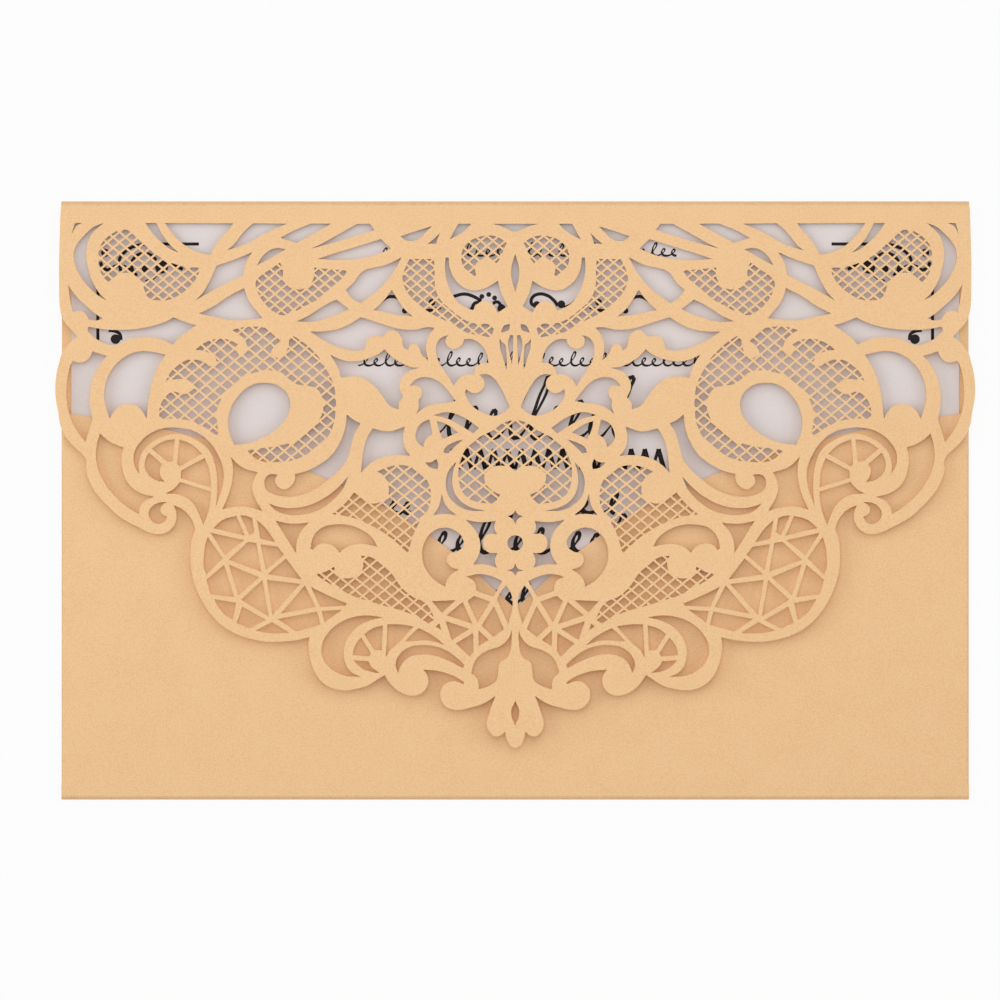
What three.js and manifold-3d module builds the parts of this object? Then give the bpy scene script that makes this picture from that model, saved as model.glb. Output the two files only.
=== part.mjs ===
// Laser-cut wedding invitation: a pocket folder of pearl card that holds a printed card.
// One sheet is cut, scored and folded: a back panel, a pocket folded up from the foot, two side tabs
// glued behind the pocket, and a lace flap folded down from the head over the card and the pocket.
// It lies on its back with the flap up. X is the width, +Y points to the flap's fold, +Z is up.
// All sizes are in millimetres. The origin is under the middle of the folder.

import * as THREE from 'three';
import { mergeVertices } from 'three/addons/utils/BufferGeometryUtils.js';
import Module from 'manifold-3d';

const wasm = await Module();
wasm.setup();

// Folder
const PANEL_WIDTH = 185;
const PANEL_HEIGHT = 122;
const CARD = 0.3;
const TAB_WIDTH = 15;
const TAB_SLANT = 6;
const TAB_FOOT_GAP = 3;

// Pocket: its upper edge falls from the sides to a point in the middle
const POCKET_SIDE_RISE = 79;
const POCKET_MIDDLE_RISE = 39;
// Along the edge, from the side to the middle: share of the half width, share of the fall left
const POCKET_EDGE = [[1, 1], [0.745, 0.9], [0.545, 0.765], [0.405, 0.65], [0.18, 0.36], [0, 0]];
const POCKET_EDGE_STEPS = 6;

// Printed card in the pocket, and the air around it
const INSERT_CARD = 0.4;
const INSERT_SIDE_GAP = 2;
const INSERT_END_GAP = 2;
const INSERT_FACE_GAP = 0.15;

// Lace flap
const FLAP_DROP = 111.3;
const FLAP_SLOPE = THREE.MathUtils.degToRad(1.4);
const FLAP_CLEARANCE = 0.4;

// Cutting
const FOLD_STEPS = 4;
const CURVE_STEPS = 6;
const CURVE_TOLERANCE = 0.4;
const CUT_MARGIN = 0.15;
const TRIM = 4;
const NET_COARSENESS = 3.6;
const NET_BAR = 0.7;
const NET_SMALLEST_GAP = 5;

// The lace is drawn in drawing units, x to the right and y down, for the half left of its axis.
// An outline is a list of x,y knots on a smooth curve, and ! after a knot makes it a sharp corner.
const DRAWING_FOLD_Y = 202;
const DRAWING_TIP_Y = 747.2;
const DRAWING_AXIS_X = 516.4;
const DRAWING_AXIS_LEAN = 0.0055;
const DRAWING_HALF_WIDTH = 455;

const LACE_EDGE = `61.4,202! 60.5,225 60,285 61.5,312 64,320 68,326 72.5,331 78.5,337.5! 74,340.5 67,348
  63,355 61,362 58.5,372 57,385 57,395 58,403 60,413 62,425 66,435 71,442 78,449 85,455! 88.5,462
  88,470 91,480 96,490 104,500 112,508 122,517 132,523 142,528 150,532 162,534.5 172,531 178,523
  179,513 176,505.5! 184,509 191,515 196,523 198,530! 195,538 193.5,550 193.5,562 195.5,576 200,590
  206,602 215,615 226,626 240,634 255,639 270,641.5 285,641.5 300,640 313,637! 312,645 313,655
  316,666 321,676 329,684 340,689 350,690 360,688.5 372,685 380,680 388.3,674.7! 393,682 400,689
  408,693.5 417,695.3 425,693 430,688 432,682 431,675 427.2,669.4! 440,670.5 452,673.5 462,678
  468,682! 467,684! 458.3,681 450,683 445,689 444.2,695.5 447,703 453,708 462.8,709.4 475,707
  488,702.8 499.4,695.5! 496,704 493.9,711 490.8,724.4 494,732 500,736 506,734 509.4,731!
  510.5,737.8 514,744.4 519.4,747.2`;

const SIDE_OPENINGS = {
  besideFold: [
    '75.5,224! 83,224! 77,227 72.5,234.5! 74,228',
    `104,224! 94,228 86,235 79,243 75,251 74.5,260 77,269 81,277 87,285 94,292 100,297 107.5,301!
      100,293.5 95,285.5 91,277 89,269 87,260 87,251 89,242 93,234 100,227.5`,
    '146,224! 157,224! 161,232 166.5,240.5 171,246 179.5,253.5! 172,250.5 162,243 154,235',
    `165.5,224! 234,224.3! 230,230 222.5,238 216.5,246 211.5,255.5! 205,254.8 190,249 180,241.5
      172,233`,
    '254.5,224.2! 288,224.7! 273,231 262,236.5 250,243.5 240,247.5 228,251.3! 235,245 242,236 249,228.5',
    '312.5,224.5! 332.2,224.7! 320,231.5 310,237 297.5,243.8! 290,241.5 281.5,238.7! 295,231.5',
    `358.3,224.8! 371,224.8! 375.6,230.8! 363,235 350,239 335,243.5 312,249.5! 323,244.5 340,235
      350,229.5`,
    '382.2,240! 392.2,249.4! 378,255.5 361,259.4 340,261 319,259.8! 340,253 355,248.5',
    '401.7,237.2! 416.7,232.2 432.8,227.2! 426.7,233.3 421,239 411,242.2 405.6,240.3',
    '441,234! 439,239.4 437.4,244.7! 429,244.7! 434.4,240.6',
    '459.4,224.8! 472.6,224.8! 467.8,230 461,235 451,240.3! 455,232.8',
  ],
  shoulderScrolls: [
    `253,253! 248,262 245.5,269 244.5,276! 235,280.5 220,288 210,293.5 197,301! 204,293.5 208,287
      214,275 217.5,266.5! 230,262.5 243,257.5`,
    '258,266.2! 262.5,258.5 268,253 274,249.8 280,249 287,250.3! 280,254 270,260',
    `245.5,289! 248,297 253,306 259,313 264,319! 250,320.5 235,321.2 220,318.5 200.3,314.3! 215,307
      230,297`,
    `69,285.5! 75,294.5 82,302 90,309 97,315 104,319! 98,321.3 90,320.5! 88,316.5 84,312.5 79,311.8
      74,313! 71.5,303`,
    `90,327.5! 89,331 92,335 98,340 106,344 115,346 122,344 130,340 140,338.5 150,338 160,339.5
      168,342.5 174.5,345.5! 180,339 188,333 197.5,326! 190,324 175,318.2! 168,322 155,326.5
      140,329.5 125,330.7 110,330.5 98,329`,
    '298,322.2! 310,316.5 320,310 331,303.5 338,300.5! 350.5,310! 340,315 330,318.5 315,322.5',
  ],
  innerScrolls: [
    `402.8,258.3! 386.7,266 376.7,268.3 366.7,270.6! 361,275 355.6,282.8 347,291! 354.4,300 362,304!
      370,298.3 380,290.6 389,280.6 395.6,271.7`,
    `393.3,290.6! 400,301.7 406.7,310.6 414.4,317.2! 405.6,316.4 394.4,315 383.3,312.2 375,311!
      382.2,304.4 387.8,298.3`,
    `447,258.5! 450,258.5! 451,268 455,278 462,286 472,291 482,290.5 491,287 499.5,281.5! 502,291
      506,301 509.5,307! 499.5,313.5! 495,306 487,301.5 479,305 475,311! 470,309.5 460,303.5
      453,293 448,280 446.5,268`,
    `311.5,332.3! 328,332 345,328 362.5,318! 380,323.5 400,329.5 417,330.5 429,328 436.5,328.5!
      430.5,337 428,348 430,361! 423.5,355 421,348.5 416,344.3 411.5,346.5 410,351! 405.5,348
      403.5,339 399,333 391,331.5 385,337.5! 378,336.8 371,338.5 368,343.5 366.5,350! 357,351.5
      342,348.5 327,342`,
    `332,355.5! 342,360 354,362.3 368,360 379,355.5 386.5,350! 393,357 403,363.5 412,367.5
      421.5,368.5! 411,372 404,378.5 401.5,387 405.5,398! 401,404 401,410! 392,406.5 384,396
      374,384.5 363,378 354,377 343,378.5! 340,369`,
    `450.5,336! 444,338 439,343.5 438,351 440,361 446,371 451.5,379.5 456,387! 460.5,380 468,375.5
      476,375! 478,368.5 483,364.5 490.5,363.5! 488.5,354 482.5,345 474.5,340.3 466,339.7!
      464.5,344.5 459.5,349 453,349.3 448,344.5 448,339`,
    '511.7,325! 506.7,326 503.9,330 502.8,333.3! 507.8,332.2 510.6,330.6',
    '512.5,335.5! 515.2,336.5! 515,350 514,365.5! 512,357 510,343',
    '501.4,339.4! 504.4,343.3 507.2,345.6 508.3,352.8 508.9,361.7 508.7,370.6! 505,358.3 502.2,349.4',
    `411.5,387! 416,381.5 424,378 433,378.7 441,382.3 449,390 458,401.8! 446,403.8 434,405.3
      426,408.8 418.5,414.5! 421,407 420.5,401! 423.8,396 423.5,390 419,386.3`,
    `481,375.5! 489,375 496,379 502,387 507.5,397.5 512,407.5! 506,413 497,416.5 488,414.5
      478,409.5 471,402 467.5,393 468.5,390! 475,393.7 482,392.3 486.5,386.5 485.5,380`,
  ],
  outerLobe: [
    `94,352! 101,354.5 108.5,356.5! 101,366 94.5,379 91.5,394 92,408 94.5,420! 91,431 87.5,442.5!
      80,433 73.5,421 69.5,408 68,394 69,379 72,366 74.5,361.5! 81,363.3 87,362 91.5,357.5`,
    `167,355.5! 155,352.8 142,352 130,355.5 119,363.5 111,374.5 106.5,388 106.5,402 111.5,419.5!
      116.5,411 124,406 132,405 140,407.5 145,413 148.5,419.5! 150,404 152.5,388 158,371`,
    `102,434! 108,439.5 116,444.5 126,448! 124,456 124.5,468 130,483 142,493 157,497.2! 148,501
      142.5,508 141,514.5! 128,506 115,494 105,480 99,464 98.5,448`,
    `170,502.5! 162,503 155,506.5 151.3,513.5 153.5,520 160,524.3 166.5,522.5 170,517! 165.5,515
      163,510.5 165,505.5`,
    `141.5,474.5! 136.5,465 136.5,453 143,442 155,432.5 169,428.5 184,428.8 198,432.5 210,441
      219.5,454 225.5,469 225.5,484 218.5,507! 219.8,490 218,468 211,450.5 200,441.5 188,436
      176,434.5 163,438 151,445.5 143.5,455 141,466`,
  ],
  greatWheel: [
    '151,453! 164.5,464.5! 162,471 163.5,477.5 167,482.5! 158,480.5 150.5,475 147,466 148.5,458',
    '154,449.3! 164.5,442.3 177,439.8! 175,462! 169,462!',
    '181.5,440.2! 193,444.5 204.5,454.3! 182,467! 179.5,464.5!',
    '207,458.5! 211.5,470 213.5,488! 183,478.5! 183.5,471!',
    '182.5,482.3! 213.7,492.2! 212,508 206,525.5! 201.5,514 194.5,502.5 183,495.5 168,494! 176,489.5',
    `233,457.5! 244,467.5 260,472.8! 255.5,483 255.5,493 265,511.5! 251,507.5 238,507 224.8,509.8!
      231.5,494 235.3,475 234.8,464`,
  ],
  teardropAndLeaves: [
    `236.5,445.5! 231,431 231.5,413 240,397 253,386 268,383.5 282,387.5 291,398 291.5,411.5 283,425.5
      267,437.5 250,443.8`,
    `349,415! 355,420 363,424! 357,434 353,448 350,459 342,470 331,480 317,490 302,495.8 287,497
      276,494.5 269,490 267,483 269,477 273.5,474.5! 280,475! 277.5,481 281,487.5 287.5,489.8
      294,486 297.5,480 297.5,474.5! 309,471.5 322,465 334,455.5 342,443.5 347,430`,
    `271.5,504! 284,507.8 298,508.3 312,505.5 326,499 340,488.5 351,476.5! 345,490 334,502 320,511
      304,515.2 288,514.5 278,510.5`,
    '278.5,521.2! 294,524 311.5,523! 303,533 299.5,543 299,553.5! 289,537.5',
    `313.5,549! 316,537.5 324,528.5 337,525 352,525.5 366,531 375,538 380.3,547! 368,544.5 356,545
      348,548.3 342.5,553! 338,547.5 329,543.8 321,545 316,550!`,
    `375,429! 391,432 407,427.3! 405.5,437 407,447.5 413,456.3! 398,455.8 382,459 371,465.5
      363.3,473.5! 366,450 370,437`,
    '431.7,420! 424,423.5 419,431 418.5,440 425.6,448! 428,440.5 435,434.5!',
    '436,415.8! 449,412.8 464,417 481.5,428.5! 475.5,434! 462,425.5 449,419',
    '439,421.5! 449,425 460.5,433! 445.5,439.5! 441.5,431',
    '465.5,440! 455,443.5 447.5,448.5 446,453! 450.5,454! 456,448.5',
    '427.5,463! 434,462.5 439,459.5! 440.8,465 440.3,469.8! 433,468',
    `458.5,462.5! 451.5,471 448.5,482 450.5,494.5 458,504 470,510.3 488.5,511.3! 472,507 461,499
      455.5,487 455.5,474`,
  ],
  starFan: [
    '215.8,528.5! 226,520 239,516.2! 247.8,536!',
    '243,515.8! 249,516.2 255,518.5! 257.2,532.5! 252.5,535.5!',
    '259.7,520.5! 266,526 272,533 278.2,542.5! 263.2,539!',
    '213.5,533! 247,540.5! 227.8,555.5!',
    '251,542! 259.2,543.3! 264.3,572! 231.5,560!',
    '263.5,544.5! 280.8,547! 287,555! 269,570.5!',
    '210.5,537! 225.8,558.5! 209.5,575! 207,568 206.8,555 208,546',
    '289,558.5! 305,579.5! 270.5,574.5!',
    '231.8,564.5! 262,577.5! 241.8,595.5!',
    '227,565! 237.5,597! 214,594.5! 209.5,580!',
    '265.5,580! 272,616.5! 244.5,599.8!',
    '270,580! 303.5,584! 276,615!',
    '308,585.5! 319,607! 284,613.7!',
    '314,586.8! 325,592.5 337,598 350.5,603.5! 348.5,605.8! 323.5,606.8!',
    '325,611! 345.5,609.8! 338,615 328,622.7!',
    '281,619! 320.5,611.5! 324,624.7! 312,628 300,631.5!',
    '275.5,622! 293,632.8! 280,633.5 270,632.8 259,630.5!',
    '245.5,606.5! 269.5,620! 253,628.5! 240,623!',
    '217.5,599! 239.5,603! 236.2,620! 230,616 223,609',
  ],
  lowerScrolls: [
    `448.5,587! 437,579.5 429,569.5 425.3,556 427.5,542.5 435,532.5 446,528 457,530.3 465,537.5
      466.3,546 460,551.8 452.5,554.2 449.8,560.5 453.5,566.5 461.7,569.7! 453.5,575.5 449.5,582`,
    '444.4,494! 448.5,505.5 459,515.5! 447,514.3 436,515.6! 441.5,507',
    `468.5,520! 483,522.5 498.7,521.3! 497.3,528 500,534.5! 490.5,534.8 486,543.5 490.5,552
      500.6,553.3! 498,560.5 500.3,568! 488.5,564.7 476.3,564.7! 482,554.5 483.3,544 480,533.5
      474.5,526`,
    '469.5,577! 479,574.5 490,575 505.5,581! 496.7,597! 479.7,591! 478.5,583.5 475,579.5',
    '509.5,585.5! 514.5,594 516,606 511.5,624! 505.5,611 500.5,599.5! 504,592',
    `386,617.3! 371,615.5 356,617.3 342,623.5 331,633.5 325.5,645.5 326.5,658 334,668 347,675
      365,676.7! 354,671 348.5,661 347.5,650 351,638.5 360,627.5 372,621`,
    `401.7,672.8! 399.3,664 403.5,654 412,647.5 424,645 437,645.8 450,650.3 461,658 468.2,664.7!
      466.5,668! 452,660.5 437,655.3 424,654.3 413,657 405.5,664`,
    `515.3,629.5! 512.5,637.5 505,645.3 490,650.8 481,657.5 477,665 475,672.8! 481,678.5
      482.6,689! 493,685.5 500.5,679.5 502,670 504,662 510,658.3 513.7,652 515.2,642`,
  ],
  lowerSpokes: [
    '435.2,601.3! 459.2,600.2! 445.3,612.8!',
    '466,602! 476,623.8! 450,615.3!',
    '477.2,595.8! 493.7,601.7! 481,622.2! 471,601!',
    '497.2,606! 507.4,629! 497.2,637! 485.2,625.6!',
    '449,621! 473,628.9! 455.3,640!',
    '476.7,632.8! 477.2,651.7! 473.3,656.4! 459.4,643.3!',
    '482,630.2! 492.2,640! 482.2,646!',
    '442.8,623.3! 444.8,630.2! 439,626.4!',
  ],
  smallWheel: [
    '386.3,625.3! 385.2,650.2! 378,650! 367.8,634.2! 376,628.3',
    '391,624.2! 404,624.4 417,626.4! 402.8,642.2 394,650 389.4,657.2!',
    '364.8,637.4! 374.8,653.3! 372.8,656.3! 356.4,655! 357.2,649 360.6,642.2',
    '357,660! 372.2,661! 374.4,665.6 383.3,672.8! 375,671.7 365,667.8',
    '422,628! 431.7,632.8 440.6,638.3 448,645.2! 439.4,642 428.3,640.2 417.2,641 408.3,641.4! 415,634.4',
  ],
};

// Openings on the axis: the left half, closed by its mirror image
const AXIS_OPENINGS = [
  '492.8,224.8! 500,226.3 508,229.5 516.5,232.5',
  '516.7,254.5! 512.6,273 516.9,293.3!',
  '518.1,511! 515.3,514.6 510.5,516.5! 515.3,519.2 518.2,524.4!',
  '518.2,535.5 510.4,543.3 518.3,551.1',
  '518.4,563.6! 516,568.5 510,570.6! 516,572.2 518.4,576!',
  '519.2,700.5! 515.1,711.5 519.3,725.5!',
];

// Nets of diamond gaps: the edge of the field, a gap's middle, and the pitch along x and y
const SIDE_NETS = [
  {
    edge: `99,258 101,247 106,240 113,234.5 121,231 129,231.5 137,238.5 146,246.5 156,255 166,261
      176,265 188,268 201,268.5! 198,278 190,288 180,296 168,301 158,301 150,299 146,292 143,284
      138,278 130,274 122,274.5 116,279 111,284.5! 104,277 100,268`,
    gap: [164, 264.5],
    pitch: [12.5, 10.5],
  },
  {
    edge: `257,283 263,276 272,270 281,263.5! 284,270 284.5,278 288,286 296,290 305,289.5 312,284.5
      315.5,277 315.5,268.5! 330,270 349,271.5! 342,281 333,291 322,299 308,306 295,313 284,316
      274,311.5 265,303 259,293`,
    gap: [320, 274],
    pitch: [12.5, 10.5],
  },
  {
    edge: `411,260! 435,260! 436,270 436,282 438,293 443,302 452,310 462,318 473,323.5 485,324.5
      497,325.5! 493,338.5! 481,336 468,333 457,326.5 445,320.5 433,314.5 421,305.5 411,296
      405,285 404,277 407,268`,
    gap: [412, 274],
    pitch: [12.5, 10.5],
  },
  {
    edge: `463,262 463,255 466,247.5 473,241 482,237.5 492,236.5 501,239 508,244! 505,250 503,257
      498,264! 491,260 484,260.5 478,264 476.5,270 479,279! 472,277 466.5,271`,
    gap: [482, 247],
    pitch: [12.5, 10.5],
  },
  {
    edge: `161,420! 162,407 167,398 175,392.5 186,395 198,388! 189,380.5 178,380 167.5,382.5!
      172,373.5 180,366 190,360.5 198,360.5 206,363.5 213,367 219,363! 216,357.5 208,352.5
      197,350.5! 204,345 213,341 222,339.5 231,341 240,345.5! 238.5,352 243,358! 248,352 248,344
      243,337 234,331! 242,328.5 252,327.5 262,328 272,331 283.5,341! 276,347 273,354 281,360!
      287,354 290,347 290.5,334.5! 297,338 306,344 314,351 322,360 328,370 334,381 337,392
      338,402 337.5,413 336.5,422 333,432 328,440 321,447 312,453 303,458 292,461.5 280,462.5
      267,462.5 258,459 250,451.5! 257,449 268,448.5 280,446.5 292,443.5 302,438.5 311,432
      318,425 324,415 325.5,406 323.5,396 318,389 308,386.5 298,384.5 290,379 283,373 276,371.5
      266,371 256,373.5 249,376 243,379.5 237,385 231,391 225,397 221,405 219,412 219,422
      222.5,438! 214,433 207,428 199,424.5 190,421 180,419.5 170,419`,
    gap: [222, 343.5],
    pitch: [14.2, 12],
  },
  {
    edge: `380,472! 388,468.5 398,466 410,466.5 420,470.5 428,478 432.5,488 433.5,500 430,511
      423,521.5! 417,533 411,553.5! 398,541.5 384,531.5 368,523 351,517 335,514.5! 344,507.5
      351,500 358.5,490.5! 366,500 376,504 385,501 391,494 391,485 387,477`,
    gap: [363, 502.5],
    pitch: [14.6, 12],
  },
  {
    edge: `315.5,572! 325,573 337,567! 341,576 352,578.5 361,575 366.5,566 364,556! 374,557.5
      384,564 394,573 405,588 415,596.5 427,602 434,610 438,619.5! 432,623.5! 421,617 406,611
      390,606.5 372,601 356,596 342,589 328,581`,
    gap: [373, 572],
    pitch: [14.6, 12],
  },
];

// The net over the middle medallion, a field on the axis given as its left half
const AXIS_NET = {
  edge: `517,421 505,424 497,430 485,436 475,442 468,450 463,461 461,473 463,487 468,496 476,501
    487,503.5 497,503.5 503,495! 494,490.5 488,483 487.5,475 492,469.5! 500,466.5 509,467
    517.6,471.5!`,
  gap: [517.7, 440],
  pitch: [16, 13.2],
};

// Heights of the folded layers, from the surface that the back lies on
const tabTop = 2 * CARD;
const insertBottom = tabTop + INSERT_FACE_GAP;
const pocketBottom = insertBottom + INSERT_CARD + INSERT_FACE_GAP;
const pocketTop = pocketBottom + CARD;
const flapTopAtFold = pocketTop + FLAP_CLEARANCE + CARD;

// Places across and along the panel
const side = PANEL_WIDTH / 2;
const head = PANEL_HEIGHT / 2;
const foot = -head;

// Scale of the lace drawing
const laceScaleX = side / DRAWING_HALF_WIDTH;
const laceScaleY = FLAP_DROP / (DRAWING_TIP_Y - DRAWING_FOLD_Y);

// Solids

function solidFrom(geometry) {
  geometry.deleteAttribute('normal');
  geometry.deleteAttribute('uv');
  const merged = mergeVertices(geometry);
  const mesh = new wasm.Mesh({
    numProp: 3,
    vertProperties: new Float32Array(merged.attributes.position.array),
    triVerts: new Uint32Array(merged.index.array),
  });
  return new wasm.Manifold(mesh);
}

function geometryFrom(solid) {
  const mesh = solid.getMesh();
  const geometry = new THREE.BufferGeometry();
  geometry.setAttribute('position', new THREE.BufferAttribute(mesh.vertProperties, 3));
  geometry.setIndex(new THREE.BufferAttribute(mesh.triVerts, 1));
  geometry.computeVertexNormals();
  return geometry;
}

function box(low, high) {
  const size = high.map((value, axis) => value - low[axis]);
  const geometry = new THREE.BoxGeometry(...size);
  geometry.translate(...low.map((value, axis) => value + size[axis] / 2));
  return solidFrom(geometry);
}

function prism(outline, depth, frame) {
  const geometry = new THREE.ExtrudeGeometry(new THREE.Shape(outline), {
    depth,
    bevelEnabled: false,
  });
  return solidFrom(geometry.applyMatrix4(frame));
}

// Curves

function readKnots(text) {
  return text.trim().split(/\s+/).map((word) => {
    const [x, y] = word.replace('!', '').split(',').map(Number);
    const axisX = DRAWING_AXIS_X + DRAWING_AXIS_LEAN * (y - DRAWING_FOLD_Y);
    const place = new THREE.Vector2((x - axisX) * laceScaleX, (DRAWING_FOLD_Y - y) * laceScaleY);
    return { place, corner: word.endsWith('!') };
  });
}

function mirrored(knots) {
  return knots.map(({ place, corner }) => {
    return { place: new THREE.Vector2(-place.x, place.y), corner };
  }).reverse();
}

// A half outline with its mirror image, and each knot near the axis moved onto it and kept once
function withMirror(half) {
  const nearAxis = laceScaleX;
  half.filter(({ place }) => Math.abs(place.x) < nearAxis).forEach(({ place }) => place.setX(0));
  return [...half, ...mirrored(half).filter(({ place }) => place.x !== 0)];
}

// The tangent of the circle through a knot and its two neighbours
function tangentAt(before, knot, after) {
  const arriving = knot.place.clone().sub(before.place);
  const leaving = after.place.clone().sub(knot.place);
  arriving.divideScalar(arriving.lengthSq());
  leaving.divideScalar(leaving.lengthSq());
  return arriving.add(leaving).normalize();
}

// A tangent turned over about a chord, as on a circular arc
function acrossChord(tangent, chord) {
  const along = chord.clone().normalize();
  return along.multiplyScalar(2 * tangent.dot(along)).sub(tangent);
}

function curveThrough(knots, closed) {
  const count = knots.length;
  const at = (index) => knots[(index + count) % count];
  const points = [];
  for (let index = 0; index < (closed ? count : count - 1); index += 1) {
    const from = at(index);
    const to = at(index + 1);
    const chord = to.place.clone().sub(from.place);
    let leave = from.corner ? null : tangentAt(at(index - 1), from, to);
    let arrive = to.corner ? null : tangentAt(from, to, at(index + 2));
    leave = leave ?? (arrive ? acrossChord(arrive, chord) : chord.clone().normalize());
    arrive = arrive ?? acrossChord(leave, chord);
    const handle = chord.length() / 3;
    const span = new THREE.CubicBezierCurve(
      from.place,
      from.place.clone().addScaledVector(leave, handle),
      to.place.clone().addScaledVector(arrive, -handle),
      to.place,
    );
    points.push(...span.getPoints(CURVE_STEPS).slice(0, CURVE_STEPS));
  }
  return closed ? points : [...points, at(count - 1).place.clone()];
}

function distanceToLine(point, start, end) {
  const line = end.clone().sub(start);
  return Math.abs(line.cross(point.clone().sub(start))) / line.length();
}

// The fewest of the points that keep the curve within a tolerance
function thinned(points, tolerance) {
  const start = points[0];
  const end = points[points.length - 1];
  let farthest = 0;
  let index = 0;
  for (let middle = 1; middle < points.length - 1; middle += 1) {
    const distance = distanceToLine(points[middle], start, end);
    if (distance > farthest) {
      farthest = distance;
      index = middle;
    }
  }
  if (farthest <= tolerance) return [start, end];
  const left = thinned(points.slice(0, index + 1), tolerance);
  const right = thinned(points.slice(index), tolerance);
  return [...left.slice(0, -1), ...right];
}

// A closed outline is thinned as two runs, from its first point to the point farthest from it
function thinnedLoop(points, tolerance) {
  const reach = points.map((point) => point.distanceTo(points[0]));
  const opposite = reach.indexOf(Math.max(...reach));
  const out = thinned(points.slice(0, opposite + 1), tolerance);
  const back = thinned([...points.slice(opposite), points[0]], tolerance);
  return [...out.slice(0, -1), ...back.slice(0, -1)];
}

function openingOutline(knots) {
  return thinnedLoop(curveThrough(knots, true), CURVE_TOLERANCE);
}

// The folded sheet: pocket, fold at the foot, back panel, fold at the head and flap, in section

function arc(centre, radius, fromDegrees, toDegrees) {
  const stations = [];
  for (let step = 0; step <= FOLD_STEPS; step += 1) {
    const degrees = THREE.MathUtils.lerp(fromDegrees, toDegrees, step / FOLD_STEPS);
    const angle = THREE.MathUtils.degToRad(degrees);
    const outward = new THREE.Vector2(Math.cos(angle), Math.sin(angle));
    stations.push({ middle: centre.clone().addScaledVector(outward, radius), outward });
  }
  return stations;
}

function stripSection(stations) {
  const outer = stations.map(({ middle, outward }) => middle.clone().addScaledVector(outward, CARD / 2));
  const inner = stations.map(({ middle, outward }) => middle.clone().addScaledVector(outward, -CARD / 2));
  return [...outer, ...inner.reverse()];
}

const footRadius = pocketTop / 2;
const headRadius = flapTopAtFold / 2;
const slopeDegrees = THREE.MathUtils.radToDeg(FLAP_SLOPE);
const headFold = arc(new THREE.Vector2(head - headRadius, headRadius), headRadius - CARD / 2,
  -90, 90 - slopeDegrees);
const flapStart = headFold[headFold.length - 1];
const downFlap = new THREE.Vector2(-Math.cos(FLAP_SLOPE), Math.sin(FLAP_SLOPE));

function foldedSheet(halfWidth) {
  const pocketEnd = {
    middle: new THREE.Vector2(foot + POCKET_SIDE_RISE, pocketTop - CARD / 2),
    outward: new THREE.Vector2(0, 1),
  };
  const footFold = arc(new THREE.Vector2(foot + footRadius, footRadius), footRadius - CARD / 2, 90, 270);
  const flapEnd = {
    middle: flapStart.middle.clone().addScaledVector(downFlap, FLAP_DROP + TRIM),
    outward: flapStart.outward,
  };
  const section = stripSection([pocketEnd, ...footFold, ...headFold, flapEnd]);
  const frame = new THREE.Matrix4().makeBasis(
    new THREE.Vector3(0, 1, 0),
    new THREE.Vector3(0, 0, 1),
    new THREE.Vector3(1, 0, 0),
  ).setPosition(-halfWidth, 0, 0);
  return prism(section, 2 * halfWidth, frame);
}

// Everything but the flap is trimmed to the panel's width
function sideTrim(halfWidth, direction) {
  const near = direction * side;
  const far = direction * (halfWidth + TRIM);
  const low = Math.min(near, far);
  const high = Math.max(near, far);
  const belowFlap = pocketTop + FLAP_CLEARANCE / 2;
  const under = box([low, foot - TRIM, -TRIM], [high, head + TRIM, belowFlap]);
  const foldStart = flapStart.middle.x;
  const overFold = box([low, foldStart, -TRIM], [high, head + TRIM, flapTopAtFold + TRIM]);
  return under.add(overFold);
}

// Pocket

function pocketEdge() {
  const fall = POCKET_SIDE_RISE - POCKET_MIDDLE_RISE;
  const right = POCKET_EDGE.map(([across, left]) => {
    return new THREE.Vector2(across * side, foot + POCKET_MIDDLE_RISE + left * fall);
  });
  const half = new THREE.SplineCurve(right).getPoints(POCKET_EDGE_STEPS);
  const left = half.slice(0, -1).map(({ x, y }) => new THREE.Vector2(-x, y));
  return [...left, ...half.reverse()];
}

function pocketCut() {
  const top = head + TRIM;
  const reach = side + TRIM;
  const edge = pocketEdge();
  const sideY = edge[0].y;
  const outline = [
    new THREE.Vector2(-reach, top),
    new THREE.Vector2(-reach, sideY),
    ...edge,
    new THREE.Vector2(reach, sideY),
    new THREE.Vector2(reach, top),
  ];
  const low = tabTop + INSERT_FACE_GAP / 2;
  const high = pocketTop + FLAP_CLEARANCE / 2;
  // The cut stops short of the head's fold
  const cut = prism(outline, high - low, new THREE.Matrix4().makeTranslation(0, 0, low));
  const keepHead = box([-reach - TRIM, head - 2 * headRadius, -TRIM], [reach + TRIM, top + TRIM, TRIM]);
  return cut.subtract(keepHead);
}

// A side tab lies behind the pocket and is glued to the back panel
function tab(direction) {
  const foldCentre = side - (pocketTop - CARD) / 2;
  const low = foot + TAB_FOOT_GAP;
  const high = foot + POCKET_SIDE_RISE;
  const inner = side - TAB_WIDTH;
  const outline = [
    new THREE.Vector2(direction * foldCentre, low),
    new THREE.Vector2(direction * foldCentre, high),
    new THREE.Vector2(direction * inner, high - TAB_SLANT),
    new THREE.Vector2(direction * inner, low + TAB_SLANT),
  ];
  const glueDepth = CARD / 2;
  return prism(outline, CARD + glueDepth, new THREE.Matrix4().makeTranslation(0, 0, glueDepth));
}

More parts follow.
